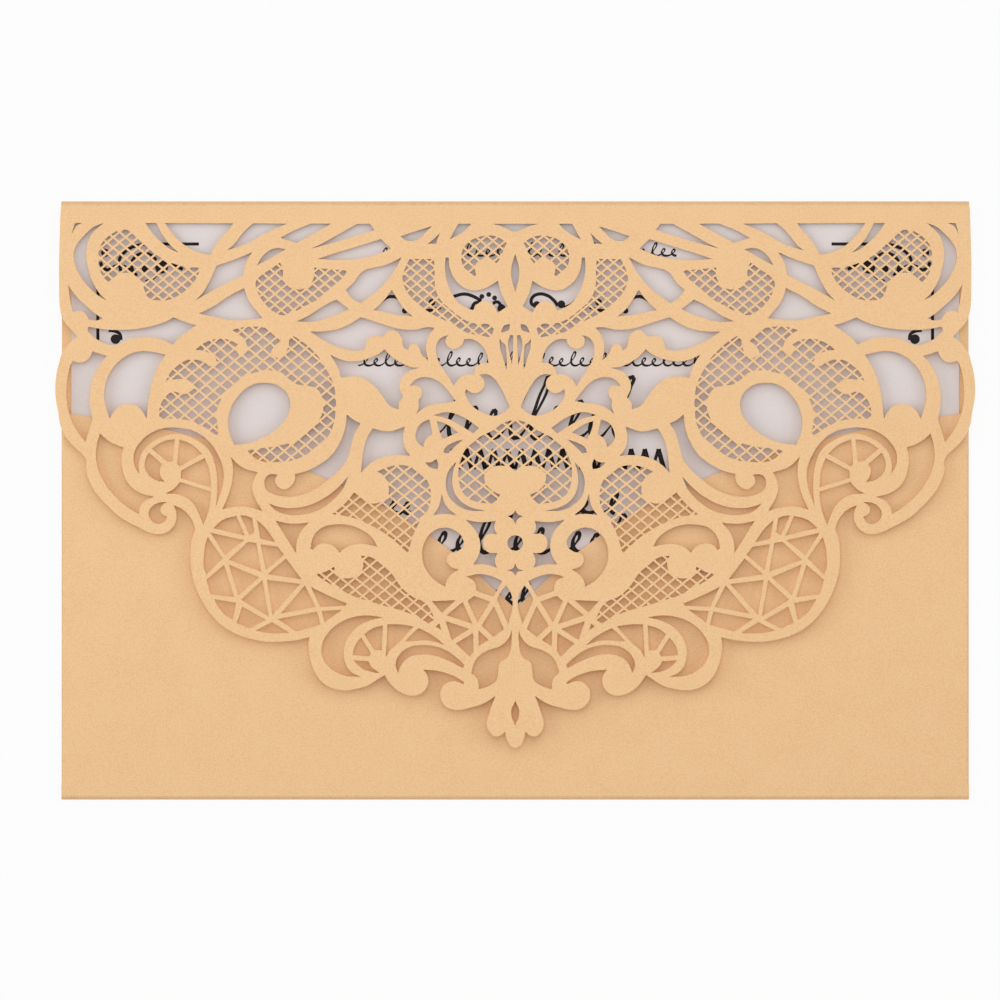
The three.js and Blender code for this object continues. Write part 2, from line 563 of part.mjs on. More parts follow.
// The fold that joins a tab to the pocket's side
function tabFold(direction) {
  const radius = (pocketTop - CARD) / 2;
  const centre = new THREE.Vector2(side - radius, CARD + radius);
  const stations = arc(centre, radius - CARD / 2, -90, 90);
  const first = stations[0];
  const last = stations[stations.length - 1];
  const overlap = new THREE.Vector2(-CARD, 0);
  const section = stripSection([
    { middle: first.middle.clone().add(overlap), outward: first.outward },
    ...stations,
    { middle: last.middle.clone().add(overlap), outward: last.outward },
  ]);
  section.forEach((point) => point.setX(point.x * direction));
  const frame = new THREE.Matrix4().makeBasis(
    new THREE.Vector3(1, 0, 0),
    new THREE.Vector3(0, 0, 1),
    new THREE.Vector3(0, -1, 0),
  ).setPosition(0, foot + POCKET_SIDE_RISE, 0);
  return prism(section, POCKET_SIDE_RISE - TAB_FOOT_GAP, frame);
}

// The pocket's flat front is trimmed back to where the side fold takes over
function pocketSideTrim(direction) {
  const near = direction * (side - (pocketTop - CARD) / 2);
  const far = direction * (side + TRIM);
  return box(
    [Math.min(near, far), foot + TAB_FOOT_GAP, tabTop],
    [Math.max(near, far), foot + POCKET_SIDE_RISE + TRIM, pocketTop + FLAP_CLEARANCE / 2],
  );
}

// Lace

function laceFrame() {
  const toFold = new THREE.Vector3(0, Math.cos(FLAP_SLOPE), -Math.sin(FLAP_SLOPE));
  const normal = new THREE.Vector3(0, Math.sin(FLAP_SLOPE), Math.cos(FLAP_SLOPE));
  const start = new THREE.Vector3(0, flapStart.middle.x, flapStart.middle.y);
  const origin = start.addScaledVector(toFold, (head - start.y) / Math.cos(FLAP_SLOPE));
  origin.addScaledVector(normal, -(CARD / 2 + CUT_MARGIN));
  return new THREE.Matrix4().makeBasis(new THREE.Vector3(1, 0, 0), toFold, normal).setPosition(origin);
}

const laceDepth = CARD + 2 * CUT_MARGIN;
const laceEdge = thinned(curveThrough(withMirror(readKnots(LACE_EDGE)), false), CURVE_TOLERANCE);
const laceHalfWidth = Math.max(...laceEdge.map(({ x }) => x));

// What lies outside the lace edge is cut away
function aroundLace() {
  const reach = laceHalfWidth + 2 * TRIM;
  const below = -FLAP_DROP - 2 * TRIM;
  const outline = [
    new THREE.Vector2(-reach, 0),
    new THREE.Vector2(-reach, below),
    new THREE.Vector2(reach, below),
    new THREE.Vector2(reach, 0),
    ...laceEdge.slice().reverse(),
  ];
  return prism(outline, laceDepth, laceFrame());
}

function laceOpenings() {
  const leftHalf = Object.values(SIDE_OPENINGS).flat().map(readKnots);
  const rightHalf = leftHalf.map(mirrored);
  const onAxis = AXIS_OPENINGS.map((text) => withMirror(readKnots(text)));
  const frame = laceFrame();
  return [...leftHalf, ...rightHalf, ...onAxis].map((knots) => {
    return prism(openingOutline(knots), laceDepth, frame);
  });
}

// Diamond gaps of one net, as far as they lie inside its field
function netGaps(knots, gap, pitch) {
  const frame = laceFrame();
  const field = openingOutline(knots);
  const halfX = pitch[0] * laceScaleX * NET_COARSENESS / 2;
  const halfY = pitch[1] * laceScaleY * NET_COARSENESS / 2;
  const shrink = 1 - (NET_BAR / 2) * Math.hypot(halfX, halfY) / (halfX * halfY);
  const [middle] = readKnots(`${gap[0]},${gap[1]}`);
  const columns = field.map(({ x }) => (x - middle.place.x) / halfX);
  const rows = field.map(({ y }) => (y - middle.place.y) / halfY);
  const fieldSolid = prism(field, laceDepth, frame);
  const gaps = [];
  for (let column = Math.floor(Math.min(...columns)); column <= Math.max(...columns) + 1; column += 1) {
    for (let row = Math.floor(Math.min(...rows)); row <= Math.max(...rows) + 1; row += 1) {
      if ((column + row) % 2 !== 0) continue;
      const x = middle.place.x + column * halfX;
      const y = middle.place.y + row * halfY;
      const diamond = [
        new THREE.Vector2(x - halfX * shrink, y),
        new THREE.Vector2(x, y - halfY * shrink),
        new THREE.Vector2(x + halfX * shrink, y),
        new THREE.Vector2(x, y + halfY * shrink),
      ];
      const clipped = fieldSolid.intersect(prism(diamond, laceDepth, frame));
      gaps.push(...clipped.decompose());
    }
  }
  return gaps.filter((solid) => solid.volume() > NET_SMALLEST_GAP * laceDepth);
}

function laceNets() {
  const sides = SIDE_NETS.flatMap(({ edge, gap, pitch }) => {
    const left = netGaps(readKnots(edge), gap, pitch);
    return [...left, ...left.map((solid) => solid.mirror([1, 0, 0]))];
  });
  const middle = netGaps(withMirror(readKnots(AXIS_NET.edge)), AXIS_NET.gap, AXIS_NET.pitch);
  return [...sides, ...middle];
}

// Pieces

function lacePocketFolder() {
  const halfWidth = laceHalfWidth + TRIM;
  const pocketSides = pocketSideTrim(-1).add(pocketSideTrim(1));
  const tabs = [-1, 1].map((direction) => tab(direction).add(tabFold(direction)));
  const sheet = foldedSheet(halfWidth)
    .subtract(sideTrim(halfWidth, -1))
    .subtract(sideTrim(halfWidth, 1))
    .subtract(pocketSides)
    .add(tabs[0])
    .add(tabs[1])
    .subtract(pocketCut());
  const openings = wasm.Manifold.union([...laceOpenings(), ...laceNets()]);
  const solid = sheet.subtract(aroundLace()).subtract(openings);
  const material = new THREE.MeshStandardMaterial({ color: 0xeec594, roughness: 0.42, metalness: 0.2 });
  const mesh = new THREE.Mesh(geometryFrom(solid), material);
  mesh.name = 'lace_pocket_folder';
  return mesh;
}

function insertCard() {
  const width = PANEL_WIDTH - 2 * INSERT_SIDE_GAP;
  const height = PANEL_HEIGHT - 2 * INSERT_END_GAP;
  const material = new THREE.MeshStandardMaterial({ color: 0xf1efee, roughness: 0.7, metalness: 0 });
  const mesh = new THREE.Mesh(new THREE.BoxGeometry(width, height, INSERT_CARD), material);
  mesh.name = 'insert_card';
  mesh.position.z = insertBottom + INSERT_CARD / 2;
  return mesh;
}

const invitation = new THREE.Group();
invitation.add(lacePocketFolder(), insertCard());

export default invitation;
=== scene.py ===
"""Laser-cut pocket invitation: a folder of pearl card with a lace flap, and the printed card in it."""

import math

import bmesh
import bpy
from bpy.props import FloatProperty, FloatVectorProperty, PointerProperty
from mathutils import Matrix, Vector


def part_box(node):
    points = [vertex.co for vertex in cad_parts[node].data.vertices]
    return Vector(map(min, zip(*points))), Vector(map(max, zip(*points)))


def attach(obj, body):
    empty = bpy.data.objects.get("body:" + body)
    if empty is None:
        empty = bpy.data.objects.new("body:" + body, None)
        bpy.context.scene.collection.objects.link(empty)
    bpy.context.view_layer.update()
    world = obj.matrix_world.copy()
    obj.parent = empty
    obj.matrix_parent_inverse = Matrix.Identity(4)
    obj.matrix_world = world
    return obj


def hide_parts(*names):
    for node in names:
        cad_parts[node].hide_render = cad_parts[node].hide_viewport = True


bl_info = {
    "name": "Lace pocket invitation",
    "version": (1, 0, 0),
    "blender": (4, 5, 0),
    "location": "3D View > Sidebar > Invitation",
    "description": "Builds a laser-cut pocket folder, its printed card and a plain studio",
    "category": "Object",
}

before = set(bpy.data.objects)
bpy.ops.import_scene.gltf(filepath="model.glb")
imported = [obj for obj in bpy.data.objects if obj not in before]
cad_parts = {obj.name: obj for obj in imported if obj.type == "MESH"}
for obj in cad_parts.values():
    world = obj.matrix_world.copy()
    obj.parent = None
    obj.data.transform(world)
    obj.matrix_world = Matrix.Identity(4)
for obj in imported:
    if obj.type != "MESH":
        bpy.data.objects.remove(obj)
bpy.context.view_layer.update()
CARD_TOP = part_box("insert_card")[1][2]
MM = 0.001

# Fineness of the folds and curves, and how close vertices are merged
FOLD_STEPS = 12
CURVE_RESOLUTION = 5
DOT_SEGMENTS = 20
MERGE_DISTANCE = 1e-7

# Cutting: how far a tool stands past the card's faces, and how far past its sides
CUT_MARGIN = 0.15 * MM
TRIM = 4 * MM

# Nets of the lace: the width of a bar, and the least area of a gap that is kept
NET_BAR = 0.42 * MM
NET_SMALLEST_AREA = 0.12 * MM * MM

# Ink: its thickness, the widths of its strokes, and a broad pen's slant and thin share
PRINT_LIFT = 0.012 * MM
RULE_WIDTH = 0.64 * MM
SCROLL_WIDTH = 0.68 * MM
SMALL_PEN = 0.52 * MM
BAND_PEN = 1.1 * MM
SCRIPT_PEN = 1.15 * MM
PEN_SLANT = math.radians(50)
PEN_THIN = 0.3

# Running loops: points a loop, lean to the right, and sideways swing as a share of the pitch
LOOP_POINTS = 8
LOOP_LEAN = 0.42
LOOP_SWING = 0.34

# Share of the broad mottle in the grain of the card
MOTTLE_SHARE = 0.15

# Studio: how white the floor looks, the light of the room, and each lamp's place, size and power
FLOOR_WHITENESS = 0.9
ROOM_LIGHT = 0.4
LAMPS = [
    ("top_lamp", (-0.05, 0.12, 1.15), 0.5, 2.3),
    ("head_lamp", (0.05, 0.55, 0.85), 0.6, 1.3),
    ("left_lamp", (-0.65, 0.05, 0.5), 0.6, 1.8),
    ("right_lamp", (0.65, 0.05, 0.5), 0.6, 1.3),
]

# Studio: half the floor's width, the camera's place, and the width that its picture takes in
FLOOR_REACH = 4.0
FLOOR_DEPTH = 0.01
CAMERA_PLACE = (-3.1 * MM, 0.1 * MM, 1.2)
PICTURE_WIDTH = 204.1 * MM
SENSOR_WIDTH = 36

# Folding: the air round the printed card, under the flap and at the tabs' ends
INSERT_FACE_GAP = 0.15 * MM
FLAP_CLEARANCE = 0.4 * MM
TAB_SLANT = 6 * MM
TAB_FOOT_GAP = 3 * MM

# Along the pocket's edge, from the side to the middle: share of the half width, share of the fall left
POCKET_EDGE = [(1, 1), (0.745, 0.9), (0.545, 0.765), (0.405, 0.65), (0.18, 0.36), (0, 0)]

# The lace is drawn in drawing units, x to the right and y down, for the half left of its axis.
# The axis leans a little: it moves to the right by its lean for each unit down from the fold.
# An outline is a list of x,y knots on a smooth curve, and ! after a knot makes it a sharp corner.
DRAWING_FOLD_Y = 202
DRAWING_TIP_Y = 747.2
DRAWING_AXIS_X = 516.4
DRAWING_AXIS_LEAN = 0.0055
DRAWING_HALF_WIDTH = 455

LACE_EDGE = """61.4,202! 60.5,225 60,285 61.5,312 64,320 68,326 72.5,331 78.5,337.5! 74,340.5 67,348
    63,355 61,362 58.5,372 57,385 57,395 58,403 60,413 62,425 66,435 71,442 78,449 85,455! 88.5,462
    88,470 91,480 96,490 104,500 112,508 122,517 132,523 142,528 150,532 162,534.5 172,531 178,523
    179,513 176,505.5! 184,509 191,515 196,523 198,530! 195,538 193.5,550 193.5,562 195.5,576 200,590
    206,602 215,615 226,626 240,634 255,639 270,641.5 285,641.5 300,640 313,637! 312,645 313,655
    316,666 321,676 329,684 340,689 350,690 360,688.5 372,685 380,680 388.3,674.7! 393,682 400,689
    408,693.5 417,695.3 425,693 430,688 432,682 431,675 427.2,669.4! 440,670.5 452,673.5 462,678
    468,682! 467,684! 458.3,681 450,683 445,689 444.2,695.5 447,703 453,708 462.8,709.4 475,707
    488,702.8 499.4,695.5! 496,704 493.9,711 490.8,724.4 494,732 500,736 506,734 509.4,731!
    510.5,737.8 514,744.4 519.4,747.2"""

SIDE_OPENINGS = {
    "beside_fold": [
        "75.5,224! 83,224! 77,227 72.5,234.5! 74,228",
        """104,224! 94,228 86,235 79,243 75,251 74.5,260 77,269 81,277 87,285 94,292 100,297 107.5,301!
            100,293.5 95,285.5 91,277 89,269 87,260 87,251 89,242 93,234 100,227.5""",
        "146,224! 157,224! 161,232 166.5,240.5 171,246 179.5,253.5! 172,250.5 162,243 154,235",
        """165.5,224! 234,224.3! 230,230 222.5,238 216.5,246 211.5,255.5! 205,254.8 190,249 180,241.5
            172,233""",
        "254.5,224.2! 288,224.7! 273,231 262,236.5 250,243.5 240,247.5 228,251.3! 235,245 242,236 249,228.5",
        "312.5,224.5! 332.2,224.7! 320,231.5 310,237 297.5,243.8! 290,241.5 281.5,238.7! 295,231.5",
        """358.3,224.8! 371,224.8! 375.6,230.8! 363,235 350,239 335,243.5 312,249.5! 323,244.5 340,235
            350,229.5""",
        "382.2,240! 392.2,249.4! 378,255.5 361,259.4 340,261 319,259.8! 340,253 355,248.5",
        "401.7,237.2! 416.7,232.2 432.8,227.2! 426.7,233.3 421,239 411,242.2 405.6,240.3",
        "441,234! 439,239.4 437.4,244.7! 429,244.7! 434.4,240.6",
        "459.4,224.8! 472.6,224.8! 467.8,230 461,235 451,240.3! 455,232.8",
    ],
    "shoulder_scrolls": [
        """253,253! 248,262 245.5,269 244.5,276! 235,280.5 220,288 210,293.5 197,301! 204,293.5 208,287
            214,275 217.5,266.5! 230,262.5 243,257.5""",
        "258,266.2! 262.5,258.5 268,253 274,249.8 280,249 287,250.3! 280,254 270,260",
        """245.5,289! 248,297 253,306 259,313 264,319! 250,320.5 235,321.2 220,318.5 200.3,314.3! 215,307
            230,297""",
        """69,285.5! 75,294.5 82,302 90,309 97,315 104,319! 98,321.3 90,320.5! 88,316.5 84,312.5 79,311.8
            74,313! 71.5,303""",
        """90,327.5! 89,331 92,335 98,340 106,344 115,346 122,344 130,340 140,338.5 150,338 160,339.5
            168,342.5 174.5,345.5! 180,339 188,333 197.5,326! 190,324 175,318.2! 168,322 155,326.5
            140,329.5 125,330.7 110,330.5 98,329""",
        "298,322.2! 310,316.5 320,310 331,303.5 338,300.5! 350.5,310! 340,315 330,318.5 315,322.5",
    ],
    "inner_scrolls": [
        """402.8,258.3! 386.7,266 376.7,268.3 366.7,270.6! 361,275 355.6,282.8 347,291! 354.4,300 362,304!
            370,298.3 380,290.6 389,280.6 395.6,271.7""",
        """393.3,290.6! 400,301.7 406.7,310.6 414.4,317.2! 405.6,316.4 394.4,315 383.3,312.2 375,311!
            382.2,304.4 387.8,298.3""",
        """447,258.5! 450,258.5! 451,268 455,278 462,286 472,291 482,290.5 491,287 499.5,281.5! 502,291
            506,301 509.5,307! 499.5,313.5! 495,306 487,301.5 479,305 475,311! 470,309.5 460,303.5
            453,293 448,280 446.5,268""",
        """311.5,332.3! 328,332 345,328 362.5,318! 380,323.5 400,329.5 417,330.5 429,328 436.5,328.5!
            430.5,337 428,348 430,361! 423.5,355 421,348.5 416,344.3 411.5,346.5 410,351! 405.5,348
            403.5,339 399,333 391,331.5 385,337.5! 378,336.8 371,338.5 368,343.5 366.5,350! 357,351.5
            342,348.5 327,342""",
        """332,355.5! 342,360 354,362.3 368,360 379,355.5 386.5,350! 393,357 403,363.5 412,367.5
            421.5,368.5! 411,372 404,378.5 401.5,387 405.5,398! 401,404 401,410! 392,406.5 384,396
            374,384.5 363,378 354,377 343,378.5! 340,369""",
        """450.5,336! 444,338 439,343.5 438,351 440,361 446,371 451.5,379.5 456,387! 460.5,380 468,375.5
            476,375! 478,368.5 483,364.5 490.5,363.5! 488.5,354 482.5,345 474.5,340.3 466,339.7!
            464.5,344.5 459.5,349 453,349.3 448,344.5 448,339""",
        "511.7,325! 506.7,326 503.9,330 502.8,333.3! 507.8,332.2 510.6,330.6",
        "512.5,335.5! 515.2,336.5! 515,350 514,365.5! 512,357 510,343",
        "501.4,339.4! 504.4,343.3 507.2,345.6 508.3,352.8 508.9,361.7 508.7,370.6! 505,358.3 502.2,349.4",
        """411.5,387! 416,381.5 424,378 433,378.7 441,382.3 449,390 458,401.8! 446,403.8 434,405.3
            426,408.8 418.5,414.5! 421,407 420.5,401! 423.8,396 423.5,390 419,386.3""",
        """481,375.5! 489,375 496,379 502,387 507.5,397.5 512,407.5! 506,413 497,416.5 488,414.5
            478,409.5 471,402 467.5,393 468.5,390! 475,393.7 482,392.3 486.5,386.5 485.5,380""",
    ],
    "outer_lobe": [
        """94,352! 101,354.5 108.5,356.5! 101,366 94.5,379 91.5,394 92,408 94.5,420! 91,431 87.5,442.5!
            80,433 73.5,421 69.5,408 68,394 69,379 72,366 74.5,361.5! 81,363.3 87,362 91.5,357.5""",
        """167,355.5! 155,352.8 142,352 130,355.5 119,363.5 111,374.5 106.5,388 106.5,402 111.5,419.5!
            116.5,411 124,406 132,405 140,407.5 145,413 148.5,419.5! 150,404 152.5,388 158,371""",
        """102,434! 108,439.5 116,444.5 126,448! 124,456 124.5,468 130,483 142,493 157,497.2! 148,501
            142.5,508 141,514.5! 128,506 115,494 105,480 99,464 98.5,448""",
        """170,502.5! 162,503 155,506.5 151.3,513.5 153.5,520 160,524.3 166.5,522.5 170,517! 165.5,515
            163,510.5 165,505.5""",
        """141.5,474.5! 136.5,465 136.5,453 143,442 155,432.5 169,428.5 184,428.8 198,432.5 210,441
            219.5,454 225.5,469 225.5,484 218.5,507! 219.8,490 218,468 211,450.5 200,441.5 188,436
            176,434.5 163,438 151,445.5 143.5,455 141,466""",
    ],
    "great_wheel": [
        "151,453! 164.5,464.5! 162,471 163.5,477.5 167,482.5! 158,480.5 150.5,475 147,466 148.5,458",
        "154,449.3! 164.5,442.3 177,439.8! 175,462! 169,462!",
        "181.5,440.2! 193,444.5 204.5,454.3! 182,467! 179.5,464.5!",
        "207,458.5! 211.5,470 213.5,488! 183,478.5! 183.5,471!",
        "182.5,482.3! 213.7,492.2! 212,508 206,525.5! 201.5,514 194.5,502.5 183,495.5 168,494! 176,489.5",
        """233,457.5! 244,467.5 260,472.8! 255.5,483 255.5,493 265,511.5! 251,507.5 238,507 224.8,509.8!
            231.5,494 235.3,475 234.8,464""",
    ],
    "teardrop_and_leaves": [
        """236.5,445.5! 231,431 231.5,413 240,397 253,386 268,383.5 282,387.5 291,398 291.5,411.5 283,425.5
            267,437.5 250,443.8""",
        """349,415! 355,420 363,424! 357,434 353,448 350,459 342,470 331,480 317,490 302,495.8 287,497
            276,494.5 269,490 267,483 269,477 273.5,474.5! 280,475! 277.5,481 281,487.5 287.5,489.8
            294,486 297.5,480 297.5,474.5! 309,471.5 322,465 334,455.5 342,443.5 347,430""",
        """271.5,504! 284,507.8 298,508.3 312,505.5 326,499 340,488.5 351,476.5! 345,490 334,502 320,511
            304,515.2 288,514.5 278,510.5""",
        "278.5,521.2! 294,524 311.5,523! 303,533 299.5,543 299,553.5! 289,537.5",
        """313.5,549! 316,537.5 324,528.5 337,525 352,525.5 366,531 375,538 380.3,547! 368,544.5 356,545
            348,548.3 342.5,553! 338,547.5 329,543.8 321,545 316,550!""",
        """375,429! 391,432 407,427.3! 405.5,437 407,447.5 413,456.3! 398,455.8 382,459 371,465.5
            363.3,473.5! 366,450 370,437""",
        "431.7,420! 424,423.5 419,431 418.5,440 425.6,448! 428,440.5 435,434.5!",
        "436,415.8! 449,412.8 464,417 481.5,428.5! 475.5,434! 462,425.5 449,419",
        "439,421.5! 449,425 460.5,433! 445.5,439.5! 441.5,431",
        "465.5,440! 455,443.5 447.5,448.5 446,453! 450.5,454! 456,448.5",
        "427.5,463! 434,462.5 439,459.5! 440.8,465 440.3,469.8! 433,468",
        """458.5,462.5! 451.5,471 448.5,482 450.5,494.5 458,504 470,510.3 488.5,511.3! 472,507 461,499
            455.5,487 455.5,474""",
    ],
    "star_fan": [
        "215.8,528.5! 226,520 239,516.2! 247.8,536!",
        "243,515.8! 249,516.2 255,518.5! 257.2,532.5! 252.5,535.5!",
        "259.7,520.5! 266,526 272,533 278.2,542.5! 263.2,539!",
        "213.5,533! 247,540.5! 227.8,555.5!",
        "251,542! 259.2,543.3! 264.3,572! 231.5,560!",
        "263.5,544.5! 280.8,547! 287,555! 269,570.5!",
        "210.5,537! 225.8,558.5! 209.5,575! 207,568 206.8,555 208,546",
        "289,558.5! 305,579.5! 270.5,574.5!",
        "231.8,564.5! 262,577.5! 241.8,595.5!",
        "227,565! 237.5,597! 214,594.5! 209.5,580!",
        "265.5,580! 272,616.5! 244.5,599.8!",
        "270,580! 303.5,584! 276,615!",
        "308,585.5! 319,607! 284,613.7!",
        "314,586.8! 325,592.5 337,598 350.5,603.5! 348.5,605.8! 323.5,606.8!",
        "325,611! 345.5,609.8! 338,615 328,622.7!",
        "281,619! 320.5,611.5! 324,624.7! 312,628 300,631.5!",
        "275.5,622! 293,632.8! 280,633.5 270,632.8 259,630.5!",
        "245.5,606.5! 269.5,620! 253,628.5! 240,623!",
        "217.5,599! 239.5,603! 236.2,620! 230,616 223,609",
    ],
    "lower_scrolls": [
        """448.5,587! 437,579.5 429,569.5 425.3,556 427.5,542.5 435,532.5 446,528 457,530.3 465,537.5
            466.3,546 460,551.8 452.5,554.2 449.8,560.5 453.5,566.5 461.7,569.7! 453.5,575.5 449.5,582""",
        "444.4,494! 448.5,505.5 459,515.5! 447,514.3 436,515.6! 441.5,507",
        """468.5,520! 483,522.5 498.7,521.3! 497.3,528 500,534.5! 490.5,534.8 486,543.5 490.5,552
            500.6,553.3! 498,560.5 500.3,568! 488.5,564.7 476.3,564.7! 482,554.5 483.3,544 480,533.5
            474.5,526""",
        "469.5,577! 479,574.5 490,575 505.5,581! 496.7,597! 479.7,591! 478.5,583.5 475,579.5",
        "509.5,585.5! 514.5,594 516,606 511.5,624! 505.5,611 500.5,599.5! 504,592",
        """386,617.3! 371,615.5 356,617.3 342,623.5 331,633.5 325.5,645.5 326.5,658 334,668 347,675
            365,676.7! 354,671 348.5,661 347.5,650 351,638.5 360,627.5 372,621""",
        """401.7,672.8! 399.3,664 403.5,654 412,647.5 424,645 437,645.8 450,650.3 461,658 468.2,664.7!
            466.5,668! 452,660.5 437,655.3 424,654.3 413,657 405.5,664""",
        """515.3,629.5! 512.5,637.5 505,645.3 490,650.8 481,657.5 477,665 475,672.8! 481,678.5
            482.6,689! 493,685.5 500.5,679.5 502,670 504,662 510,658.3 513.7,652 515.2,642""",
    ],
    "lower_spokes": [
        "435.2,601.3! 459.2,600.2! 445.3,612.8!",
        "466,602! 476,623.8! 450,615.3!",
        "477.2,595.8! 493.7,601.7! 481,622.2! 471,601!",
        "497.2,606! 507.4,629! 497.2,637! 485.2,625.6!",
        "449,621! 473,628.9! 455.3,640!",
        "476.7,632.8! 477.2,651.7! 473.3,656.4! 459.4,643.3!",
        "482,630.2! 492.2,640! 482.2,646!",
        "442.8,623.3! 444.8,630.2! 439,626.4!",
    ],
    "small_wheel": [
        "386.3,625.3! 385.2,650.2! 378,650! 367.8,634.2! 376,628.3",
        "391,624.2! 404,624.4 417,626.4! 402.8,642.2 394,650 389.4,657.2!",
        "364.8,637.4! 374.8,653.3! 372.8,656.3! 356.4,655! 357.2,649 360.6,642.2",
        "357,660! 372.2,661! 374.4,665.6 383.3,672.8! 375,671.7 365,667.8",
        "422,628! 431.7,632.8 440.6,638.3 448,645.2! 439.4,642 428.3,640.2 417.2,641 408.3,641.4! 415,634.4",
    ],
}

# Openings on the axis: the left half, closed by its mirror image
AXIS_OPENINGS = [
    "492.8,224.8! 500,226.3 508,229.5 516.5,232.5",
    "516.7,254.5! 512.6,273 516.9,293.3!",
    "518.1,511! 515.3,514.6 510.5,516.5! 515.3,519.2 518.2,524.4!",
    "518.2,535.5 510.4,543.3 518.3,551.1",
    "518.4,563.6! 516,568.5 510,570.6! 516,572.2 518.4,576!",
    "519.2,700.5! 515.1,711.5 519.3,725.5!",
]

# Nets of diamond gaps: the edge of the field, the middle of one gap, and the pitch along x and y
SIDE_NETS = [
    (
        """99,258 101,247 106,240 113,234.5 121,231 129,231.5 137,238.5 146,246.5 156,255 166,261
            176,265 188,268 201,268.5! 198,278 190,288 180,296 168,301 158,301 150,299 146,292 143,284
            138,278 130,274 122,274.5 116,279 111,284.5! 104,277 100,268""",
        (164, 264.5),
        (12.5, 10.5),
    ),
    (
        """257,283 263,276 272,270 281,263.5! 284,270 284.5,278 288,286 296,290 305,289.5 312,284.5
            315.5,277 315.5,268.5! 330,270 349,271.5! 342,281 333,291 322,299 308,306 295,313 284,316
            274,311.5 265,303 259,293""",
        (320, 274),
        (12.5, 10.5),
    ),
    (
        """411,260! 435,260! 436,270 436,282 438,293 443,302 452,310 462,318 473,323.5 485,324.5
            497,325.5! 493,338.5! 481,336 468,333 457,326.5 445,320.5 433,314.5 421,305.5 411,296
            405,285 404,277 407,268""",
        (412, 274),
        (12.5, 10.5),
    ),
    (
        """463,262 463,255 466,247.5 473,241 482,237.5 492,236.5 501,239 508,244! 505,250 503,257
            498,264! 491,260 484,260.5 478,264 476.5,270 479,279! 472,277 466.5,271""",
        (482, 247),
        (12.5, 10.5),
    ),
    (
        """161,420! 162,407 167,398 175,392.5 186,395 198,388! 189,380.5 178,380 167.5,382.5!
            172,373.5 180,366 190,360.5 198,360.5 206,363.5 213,367 219,363! 216,357.5 208,352.5
            197,350.5! 204,345 213,341 222,339.5 231,341 240,345.5! 238.5,352 243,358! 248,352 248,344
            243,337 234,331! 242,328.5 252,327.5 262,328 272,331 283.5,341! 276,347 273,354 281,360!
            287,354 290,347 290.5,334.5! 297,338 306,344 314,351 322,360 328,370 334,381 337,392
            338,402 337.5,413 336.5,422 333,432 328,440 321,447 312,453 303,458 292,461.5 280,462.5
            267,462.5 258,459 250,451.5! 257,449 268,448.5 280,446.5 292,443.5 302,438.5 311,432
            318,425 324,415 325.5,406 323.5,396 318,389 308,386.5 298,384.5 290,379 283,373 276,371.5
            266,371 256,373.5 249,376 243,379.5 237,385 231,391 225,397 221,405 219,412 219,422
            222.5,438! 214,433 207,428 199,424.5 190,421 180,419.5 170,419""",
        (222, 343.5),
        (14.2, 12),
    ),
    (
        """380,472! 388,468.5 398,466 410,466.5 420,470.5 428,478 432.5,488 433.5,500 430,511
            423,521.5! 417,533 411,553.5! 398,541.5 384,531.5 368,523 351,517 335,514.5! 344,507.5
            351,500 358.5,490.5! 366,500 376,504 385,501 391,494 391,485 387,477""",
        (363, 502.5),
        (14.6, 12),
    ),
    (
        """315.5,572! 325,573 337,567! 341,576 352,578.5 361,575 366.5,566 364,556! 374,557.5
            384,564 394,573 405,588 415,596.5 427,602 434,610 438,619.5! 432,623.5! 421,617 406,611
            390,606.5 372,601 356,596 342,589 328,581""",
        (373, 572),
        (14.6, 12),
    ),
]

# The net over the middle medallion, a field on the axis given as its left half
AXIS_NET = (
    """517,421 505,424 497,430 485,436 475,442 468,450 463,461 461,473 463,487 468,496 476,501
        487,503.5 497,503.5 503,495! 494,490.5 488,483 487.5,475 492,469.5! 500,466.5 509,467
        517.6,471.5!""",
    (517.7, 440),
    (16, 13.2),
)


class FolderSizes(bpy.types.PropertyGroup):
    """Sizes of the folder and its lace flap."""

    panel_width: FloatProperty(
        name="Panel width", description="Width of the back panel", default=185 * MM, unit="LENGTH")
    panel_height: FloatProperty(
        name="Panel height", description="Height of the back panel", default=122 * MM, unit="LENGTH")
    card: FloatProperty(
        name="Card", description="Thickness of the folder's card", default=0.3 * MM, unit="LENGTH")
    tab_width: FloatProperty(
        name="Tab width", description="Width of a glued side tab", default=15 * MM, unit="LENGTH")
    side_rise: FloatProperty(
        name="Pocket side", description="Height of the pocket at its sides", default=79 * MM, unit="LENGTH")
    middle_rise: FloatProperty(
        name="Pocket middle", description="Height of the pocket in the middle", default=39 * MM,
        unit="LENGTH")
    flap_drop: FloatProperty(
        name="Flap drop", description="From the fold to the lace tip", default=111.3 * MM, unit="LENGTH")
    flap_slope: FloatProperty(
        name="Flap slope", description="Rise of the flap towards its tip", default=math.radians(1.4),
        subtype="ANGLE")


class FinishColours(bpy.types.PropertyGroup):
    """Colours of the card, its cut edges with their painted shade, the printed card with its painted shade,
    and the ink.
    """

    pearl: FloatVectorProperty(
        name="Pearl card", description="Lit face of the folder", default=(0.89, 0.575, 0.295),
        subtype="COLOR", min=0, max=1)
    pearl_deep: FloatVectorProperty(
        name="Pearl mottle", description="Deeper tone in the card", default=(0.83, 0.5, 0.235),
        subtype="COLOR", min=0, max=1)
    # Cut edge: laser browning, darkened further as painted shade for the shadow line along the openings'
    # edges
    burnt_and_shaded: FloatVectorProperty(
        name="Cut edge", description="Edge browned by the laser", default=(0.42, 0.22, 0.09),
        subtype="COLOR", min=0, max=1)
    # Printed card: white, darkened and tinted pink as painted shade from the lace over it
    paper_and_shade: FloatVectorProperty(
        name="Printed card", description="Smooth white card", default=(0.82, 0.75, 0.735),
        subtype="COLOR", min=0, max=1)
    ink: FloatVectorProperty(
        name="Ink", description="Print on the card", default=(0.007, 0.005, 0.005),
        subtype="COLOR", min=0, max=1)


# Heights of the folded layers

